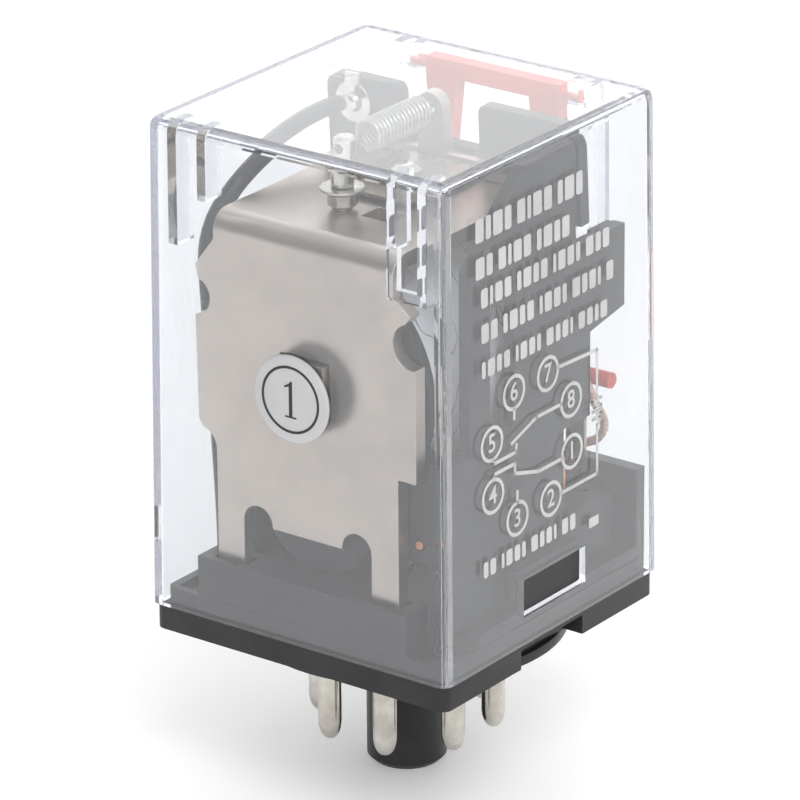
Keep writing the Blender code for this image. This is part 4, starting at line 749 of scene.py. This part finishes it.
@dataclass
class CoverAssembly:
    """Clear cover with its label and its printed face.

    Attributes:
        shop: where its pieces are made.
        line: width of the diagram's lines, in millimetres.
        ring: radius of the diagram's circles, in millimetres.
    """

    shop: Workshop
    line: float = 0.36
    ring: float = 1.62

    def build(self) -> None:
        """Make the cover, the label and the printing."""
        self.shop.refine("clear_cover", CLEAR, Body.RELAY, edge=0.12 * MM, segments=3, facets=True)
        self._label()
        self._diagram()

    def _label(self) -> None:
        """Round white label with a ring and a numeral."""
        low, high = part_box("number_label")
        centre = (low + high) / 2
        radius = (high.x - low.x) / 2
        thick = high.y - low.y
        profile = [(0, thick / 2), (radius - 0.25 * MM, thick / 2),
                   (radius - 0.08 * MM, thick / 2 - 0.05 * MM), (radius, thick / 2 - 0.15 * MM),
                   (radius, -thick / 2), (0, -thick / 2)]
        disc = self.shop.lathe("label_disc", profile, tuple(centre), Vector((0, -1, 0)))
        self.shop.settle(disc, LABEL, Body.RELAY, "number_label")
        marks = ReliefPrint(lambda u, v: Vector((centre.x + u * MM, low.y, centre.z + v * MM)),
                            Vector((0, -1, 0)))
        marks.ring((0, 0), 3.25, 0.26, 64)
        self._one(marks)
        self.shop.settle(self.shop.from_bmesh("label_numeral", marks.bm), LABEL_INK, Body.RELAY)

    @staticmethod
    def _one(marks: ReliefPrint) -> None:
        """Numeral one with a flag and a foot."""
        marks.polygon([(-0.17, -1.7), (0.21, -1.7), (0.21, 1.85), (0.03, 1.85), (-0.17, 1.6)])
        marks.polygon([(-0.17, 1.6), (-0.17, 1.32), (-0.7, 1.12), (-0.7, 1.3)])
        marks.polygon([(-0.62, -1.84), (0.66, -1.84), (0.66, -1.68), (-0.62, -1.68)])

    def _diagram(self) -> None:
        """Wiring diagram with numbered pins, and rows of plain marks, on the +X face."""
        low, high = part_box("clear_cover")
        slope = 0.43 / 49.9

        def place(u: float, v: float) -> Vector:
            """Point on the drafted face at u along Y and v above the cover's foot, in millimetres."""
            return Vector((high.x + (0.015 - slope * v) * MM, u * MM, low.z + v * MM))

        marks = ReliefPrint(place, Vector((1, 0, 0)))
        pins = {"5": (-10.1, 22.4), "6": (-6.5, 26.4), "7": (-1.0, 26.5), "8": (2.8, 22.6),
                "4": (-10.0, 17.1), "3": (-6.1, 13.5), "2": (-0.6, 13.6), "1": (2.9, 17.3)}
        for text, centre in pins.items():
            marks.ring(centre, self.ring, self.line)
            marks.digit(text, centre, 2.55)
        runs = [[(0.7, 26.6), (7.1, 26.3), (7.1, 21.6)], [(7.1, 18.6), (7.1, 13.6), (1.1, 13.6)],
                [(1.1, 22.7), (-2.9, 22.7), (-6.9, 21.4)],
                [(-9.9, 20.7), (-9.9, 20.3), (-6.2, 20.3), (-6.2, 21.0)],
                [(-9.9, 18.8), (-9.9, 19.2), (-6.4, 19.2), (-6.5, 18.2)],
                [(1.2, 17.1), (-2.6, 17.1), (-6.5, 18.2)],
                [(-6.5, 24.7), (-6.5, 23.8)], [(-6.1, 16.2), (-6.1, 15.2)]]
        for run in runs:
            marks.line(run, self.line)
        turns = 4
        coil = [(7.1 + (0.7 if i % 2 else -0.7) * (0 < i < 2 * turns), 21.6 - 3.0 * i / (2 * turns))
                for i in range(2 * turns + 1)]
        marks.line(coil, self.line * 0.8)
        marks.polygon([(5.7, 8.3), (7.3, 8.3), (7.3, 9.3), (5.7, 9.3)])
        self._rows(marks)
        self.shop.settle(self.shop.from_bmesh("face_printing", marks.bm), PRINT, Body.RELAY)

    def _rows(self, marks: ReliefPrint) -> None:
        """Rows of plain bars where such a cover carries its ratings."""
        rows = [(-12.4, 42.9, 5.0, 2.3), (-12.4, 39.3, 3.0, 2.1), (-11.6, 36.3, 9.0, 1.9),
                (-11.6, 32.8, 9.0, 1.9), (-11.6, 29.3, 8.8, 1.7), (-11.6, 9.2, 3.6, 1.6)]
        widths = (1.1, 0.7, 1.3, 0.9, 1.1, 0.5, 1.2)
        for number, (start, foot, end, height) in enumerate(rows):
            u = start
            index = number * 2
            while u < end:
                width = widths[index % len(widths)] * height / 2
                self._block(marks, u, foot, width, height)
                u += width + (0.95 if index % 4 == 3 else 0.36)
                index += 1

    @staticmethod
    def _block(marks: ReliefPrint, u: float, foot: float, width: float, height: float) -> None:
        """One plain bar with clipped corners."""
        clip = 0.18
        marks.polygon([(u + clip, foot), (u + width - clip, foot), (u + width, foot + clip),
                       (u + width, foot + height - clip), (u + width - clip, foot + height),
                       (u + clip, foot + height), (u, foot + height - clip), (u, foot + clip)])


@dataclass
class BaseAssembly:
    """Octal base and its eight folded pins.

    Attributes:
        shop: where its pieces are made.
        seam: half angle of the seam of a pin, in radians.
        depth: depth of that seam, in metres.
    """

    shop: Workshop
    seam: float = 0.3
    depth: float = 0.4 * MM

    def build(self) -> None:
        """Make the base and the pins."""
        self.shop.refine("octal_base", PHENOLIC, Body.RELAY, edge=0.18 * MM, segments=3)
        for number in range(1, 9):
            self._pin(f"pin_{number}")

    def _pin(self, node: str) -> None:
        """Pin folded from sheet: a round shank with an open seam and a closed, rounded tip."""
        low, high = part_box(node)
        centre = (low + high) / 2
        radius = (high.x - low.x) / 2
        length = high.z - low.z
        outward = math.atan2(centre.y, centre.x) - math.radians(35)
        tip = 2.2 * MM
        profile = [(0, length)]
        profile += [(radius * f, length - d * MM) for f, d in ((0.9, 0.0), (1.0, 0.2), (1.0, 1.2))]
        steps = 10
        profile += [(radius, tip + (length - 1.2 * MM - tip) * (1 - i / 6)) for i in range(1, 6)]
        for i in range(steps + 1):
            t = i / steps
            profile.append((radius * math.sqrt(max(0.0, 1 - t ** 2.4)), tip * (1 - t)))

        def groove(angle: float, height: float, r: float) -> float:
            """Inward fold along the seam, which closes towards the tip and the head."""
            away = abs((angle - outward + math.pi) % math.tau - math.pi)
            if away > self.seam:
                return 0.0
            shape = math.cos(away / self.seam * math.pi / 2) ** 0.5
            along = min(1.0, max(0.0, (height - 0.7 * MM) / (1.0 * MM)))
            return -self.depth * shape * along * (r / radius)

        pin = self.shop.lathe(f"folded_{node}", profile, (centre.x, centre.y, low.z), Vector((0, 0, 1)),
                              60, groove)
        self.shop.settle(pin, BRIGHT, Body.RELAY, node)


@dataclass
class CoilAssembly:
    """Core, bobbin, taped winding and yoke.

    Attributes:
        shop: where its pieces are made.
        wrinkle: height of the tape's wrinkles, in metres.
    """

    shop: Workshop
    wrinkle: float = 0.1 * MM

    def build(self) -> None:
        """Make the coil and what holds it."""
        refine = self.shop.refine
        refine("yoke", NICKEL, Body.RELAY, edge=0.16 * MM, segments=3)
        refine("coil_core", STEEL, Body.RELAY, edge=0.22 * MM, segments=3)
        refine("shading_ring", COPPER, Body.RELAY, edge=0.08 * MM)
        refine("bobbin", MOULDING, Body.RELAY, edge=0.12 * MM)
        refine("coil_winding", WINDING, Body.RELAY)
        refine("coil_wire_post_1", BRIGHT, Body.RELAY, edge=0.1 * MM)
        refine("coil_wire_post_2", COPPER, Body.RELAY, edge=0.1 * MM)
        refine("spring_post", BRIGHT, Body.RELAY, edge=0.08 * MM)
        refine("spring_post_collar", BRIGHT, Body.RELAY, edge=0.1 * MM)
        refine("hinge_retainer", BRONZE, Body.RELAY, edge=0.08 * MM)
        refine("retainer_rivet", BRIGHT, Body.RELAY, edge=0.08 * MM)
        self._wrap()

    def _wrap(self) -> None:
        """Tape round the winding, a little wrinkled."""
        low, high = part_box("coil_wrap")
        centre = (low + high) / 2
        radius = (high.x - low.x) / 2
        inner = radius - 0.3 * MM
        length = high.y - low.y
        rows = 20
        profile = [(inner, length / 2)]
        profile += [(radius, length / 2 - length * i / rows) for i in range(rows + 1)]
        profile += [(inner, -length / 2), (inner, length / 2)]

        def wrinkle(angle: float, height: float, r: float) -> float:
            """Uneven radius of the tape, never outside its CAD solid."""
            if r < radius:
                return 0.0
            place = Vector((math.cos(angle) * 3.2, math.sin(angle) * 3.2, height * 260))
            return self.wrinkle * (noise.noise(place) - 1.0) / 2

        wrap = self.shop.lathe("taped_winding", profile, tuple(centre), Vector((0, 1, 0)), 144, wrinkle)
        self.shop.settle(wrap, TAPE, Body.RELAY, "coil_wrap")


@dataclass
class ContactAssembly:
    """Armature, carrier, contacts, strips, block and wires.

    Attributes:
        shop: where its pieces are made.
        spring_turns: turns of the return spring.
    """

    shop: Workshop
    spring_turns: int = 15

    def build(self) -> None:
        """Make the moving and fixed contacts with their wires."""
        refine = self.shop.refine
        refine("armature", NICKEL, Body.ARMATURE, edge=0.15 * MM)
        refine("contact_carrier", MOULDING, Body.ARMATURE, edge=0.25 * MM, segments=3)
        refine("wire_lug", BRIGHT, Body.ARMATURE, edge=0.1 * MM)
        refine("contact_block", MOULDING, Body.RELAY, edge=0.18 * MM, segments=3)
        for side in ("left", "right"):
            refine(f"moving_blade_{side}", BRONZE, Body.ARMATURE, edge=0.05 * MM)
            refine(f"moving_contact_{side}", SILVER, Body.ARMATURE, edge=0.08 * MM)
            refine(f"blade_rivet_{side}", BRIGHT, Body.ARMATURE, edge=0.08 * MM)
            refine(f"coil_lead_{side}", COPPER, Body.RELAY, subdivide=1, smooth=80)
            for kind in ("no", "nc"):
                refine(f"{kind}_strip_{side}", BRONZE, Body.RELAY, edge=0.06 * MM)
                refine(f"{kind}_contact_{side}", SILVER, Body.RELAY, edge=0.08 * MM)
                refine(f"{kind}_link_{side}", COPPER, Body.RELAY, subdivide=1, smooth=80)
        refine("contact_braid", BRAID, Body.RELAY, subdivide=1, smooth=80)
        refine("sleeved_wire", SLEEVE, Body.RELAY, subdivide=1, smooth=80)
        self._spring()

    def _spring(self) -> None:
        """Close-wound extension spring with a straight lead along its axis at each end."""
        low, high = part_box("return_spring")
        wire = 0.2 * MM
        radius = (high.z - low.z) / 2 - wire
        axis = (high.z + low.z) / 2
        middle = (low.x + high.x) / 2
        start, end = -4.2 * MM, 4.4 * MM
        points: list[Point3] = [(middle, low.y + wire, axis), (middle, start - radius * 0.6, axis)]
        count = 20 * self.spring_turns
        for i in range(count + 1):
            angle = math.tau * i * self.spring_turns / count - math.pi / 2
            points.append((middle + radius * math.cos(angle), start + (end - start) * i / count,
                           axis + radius * math.sin(angle)))
        points += [(middle, end + radius * 0.6, axis), (middle, high.y - wire, axis)]
        spring = self.shop.tube("wound_return_spring", points, wire, 4)
        self.shop.settle(spring, SPRING, Body.RELAY, "return_spring")


@dataclass
class LeverAssembly:
    """Red test lever."""

    shop: Workshop

    def build(self) -> None:
        """Make the lever with its rounded edges."""
        self.shop.refine("test_lever", RED, Body.LEVER, edge=0.22 * MM, segments=3)


@dataclass
class Studio:
    """Floor, light and camera.

    Attributes:
        focal: focal length in millimetres, on a 36 mm sensor.
        azimuth: direction of the camera, in degrees.
        elevation: its height above the horizon, in degrees.
        roll: its turn about the line of sight, in degrees.
        distance: distance from the target, in metres.
        target: point it looks at.
        shift: lens shift.
    """

    focal: float = 270.64
    azimuth: float = 36.524
    elevation: float = 21.547
    roll: float = 0.421
    distance: float = 0.57713
    target: Vector = field(default_factory=lambda: Vector((0, 0, 0.0432)))
    shift: Point2 = (-0.0052, -0.0663)

    def build(self) -> None:
        """Make the floor, the lights, the surroundings and the camera."""
        self._camera()
        self._floor()
        self._world()
        self._lamp("key", (0.55, -0.4, 0.85), 0.5, 3.0)
        self._lamp("front", (0.15, -0.9, 0.25), 0.5, 0.8)
        scene = bpy.context.scene
        scene.view_settings.view_transform = "Standard"
        scene.cycles.max_bounces = 32
        scene.cycles.glossy_bounces = 24
        scene.cycles.transmission_bounces = 32

    def _camera(self) -> None:
        """Long lens at the object's usual view."""
        data = bpy.data.cameras.new("camera")
        data.sensor_width = 36.0
        data.lens = self.focal
        data.shift_x, data.shift_y = self.shift
        data.clip_start, data.clip_end = 0.01, 20.0
        camera = bpy.data.objects.new("camera", data)
        bpy.context.scene.collection.objects.link(camera)
        a, e = math.radians(self.azimuth), math.radians(self.elevation)
        back = Vector((math.sin(a) * math.cos(e), -math.cos(a) * math.cos(e), math.sin(e)))
        camera.location = self.target + back * self.distance
        turn = ((-back).to_track_quat("-Z", "Y").to_matrix()
                @ Matrix.Rotation(-math.radians(self.roll), 3, "Z"))
        camera.rotation_euler = turn.to_euler()
        bpy.context.scene.camera = camera

    def _floor(self) -> None:
        """Plain pale floor under the spigot."""
        bm = bmesh.new()
        bmesh.ops.create_grid(bm, x_segments=2, y_segments=2, size=6.0)
        mesh = bpy.data.meshes.new("floor")
        bm.to_mesh(mesh)
        bm.free()
        floor = bpy.data.objects.new("floor", mesh)
        bpy.context.scene.collection.objects.link(floor)
        material = bpy.data.materials.new("floor_white")
        material.use_nodes = True
        shader = material.node_tree.nodes["Principled BSDF"]
        shader.inputs["Base Color"].default_value = (0.9, 0.9, 0.9, 1)
        shader.inputs["Roughness"].default_value = 0.9
        shader.inputs["Specular IOR Level"].default_value = 0.1
        shader.inputs["Emission Color"].default_value = (1, 1, 1, 1)
        shader.inputs["Emission Strength"].default_value = FLOOR_GLOW
        mesh.materials.append(material)
        floor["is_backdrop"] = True

    def _lamp(self, name: str, place: Point3, size: float, power: float) -> None:
        """Large soft lamp aimed at the relay."""
        data = bpy.data.lights.new(name, "AREA")
        data.shape = "SQUARE"
        data.size = size
        data.energy = power
        lamp = bpy.data.objects.new(name, data)
        bpy.context.scene.collection.objects.link(lamp)
        lamp.location = place
        lamp.rotation_euler = (Vector((0, 0, 0.04)) - Vector(place)).to_track_quat("-Z", "Y").to_euler()

    def _world(self) -> None:
        """White backdrop, with a dark and a bright patch that only reflections see."""
        world = bpy.data.worlds.new("studio")
        bpy.context.scene.world = world
        world.use_nodes = True
        nodes, links = world.node_tree.nodes, world.node_tree.links
        place = nodes.new("ShaderNodeTexCoord")
        path = nodes.new("ShaderNodeLightPath")
        room = self._patch(world, place, DARK_TOWARD, 0.76, 0.93, SURROUND, DARK_STRENGTH)
        wall = self._patch(world, place, BRIGHT_TOWARD, 0.75, 0.95, 0.0, BRIGHT_EXTRA)
        both = nodes.new("ShaderNodeMath")
        both.operation = "ADD"
        straight = nodes.new("ShaderNodeMath")
        straight.operation = "LESS_THAN"
        straight.inputs[1].default_value = 0.5
        through = nodes.new("ShaderNodeMath")
        through.operation = "MULTIPLY"
        seen = nodes.new("ShaderNodeMath")
        seen.operation = "MAXIMUM"
        mix = nodes.new("ShaderNodeMix")
        mix.data_type = "FLOAT"
        mix.inputs["B"].default_value = 1.0
        links.new(room.outputs["Result"], both.inputs[0])
        links.new(wall.outputs["Result"], both.inputs[1])
        links.new(path.outputs["Is Camera Ray"], seen.inputs[0])
        links.new(path.outputs["Glossy Depth"], straight.inputs[0])
        links.new(path.outputs["Is Transmission Ray"], through.inputs[0])
        links.new(straight.outputs[0], through.inputs[1])
        links.new(through.outputs[0], seen.inputs[1])
        links.new(seen.outputs[0], mix.inputs["Factor"])
        links.new(both.outputs[0], mix.inputs["A"])
        nodes["Background"].inputs["Color"].default_value = (1, 1, 1, 1)
        links.new(mix.outputs["Result"], nodes["Background"].inputs["Strength"])

    @staticmethod
    def _patch(world: bpy.types.World, place: bpy.types.Node, toward: Point3, start: float, full: float,
               outside: float, inside: float) -> bpy.types.Node:
        """Round patch of the surroundings with a soft edge.

        Args:
            world: the world it belongs to.
            place: node that gives the direction.
            toward: direction of the patch's middle.
            start: cosine at its outer edge.
            full: cosine where it is complete.
            outside: strength outside it.
            inside: strength inside it.

        Returns:
            The node whose result is the strength.
        """
        nodes, links = world.node_tree.nodes, world.node_tree.links
        facing = nodes.new("ShaderNodeVectorMath")
        facing.operation = "DOT_PRODUCT"
        facing.inputs[1].default_value = Vector(toward).normalized()
        ramp = nodes.new("ShaderNodeMapRange")
        ramp.interpolation_type = "SMOOTHSTEP"
        ramp.inputs["From Min"].default_value = start
        ramp.inputs["From Max"].default_value = full
        ramp.inputs["To Min"].default_value = outside
        ramp.inputs["To Max"].default_value = inside
        links.new(place.outputs["Generated"], facing.inputs[0])
        links.new(facing.outputs["Value"], ramp.inputs["Value"])
        return ramp


def write_sizes(after: Iterable[Vector]) -> None:
    """Take the dressed relay's box and leave it unused."""
    import json


def main() -> None:
    """Dress the relay and light it."""
    logging.basicConfig(level=logging.INFO, format="%(name)s %(message)s")
    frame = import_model()
    shop = Workshop(frame, MaterialLibrary())
    Studio().build()
    BaseAssembly(shop).build()
    CoilAssembly(shop).build()
    ContactAssembly(shop).build()
    LeverAssembly(shop).build()
    CoverAssembly(shop).build()
    bpy.context.view_layer.update()
    write_sizes(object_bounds())


if __name__ == "__main__":
    main()
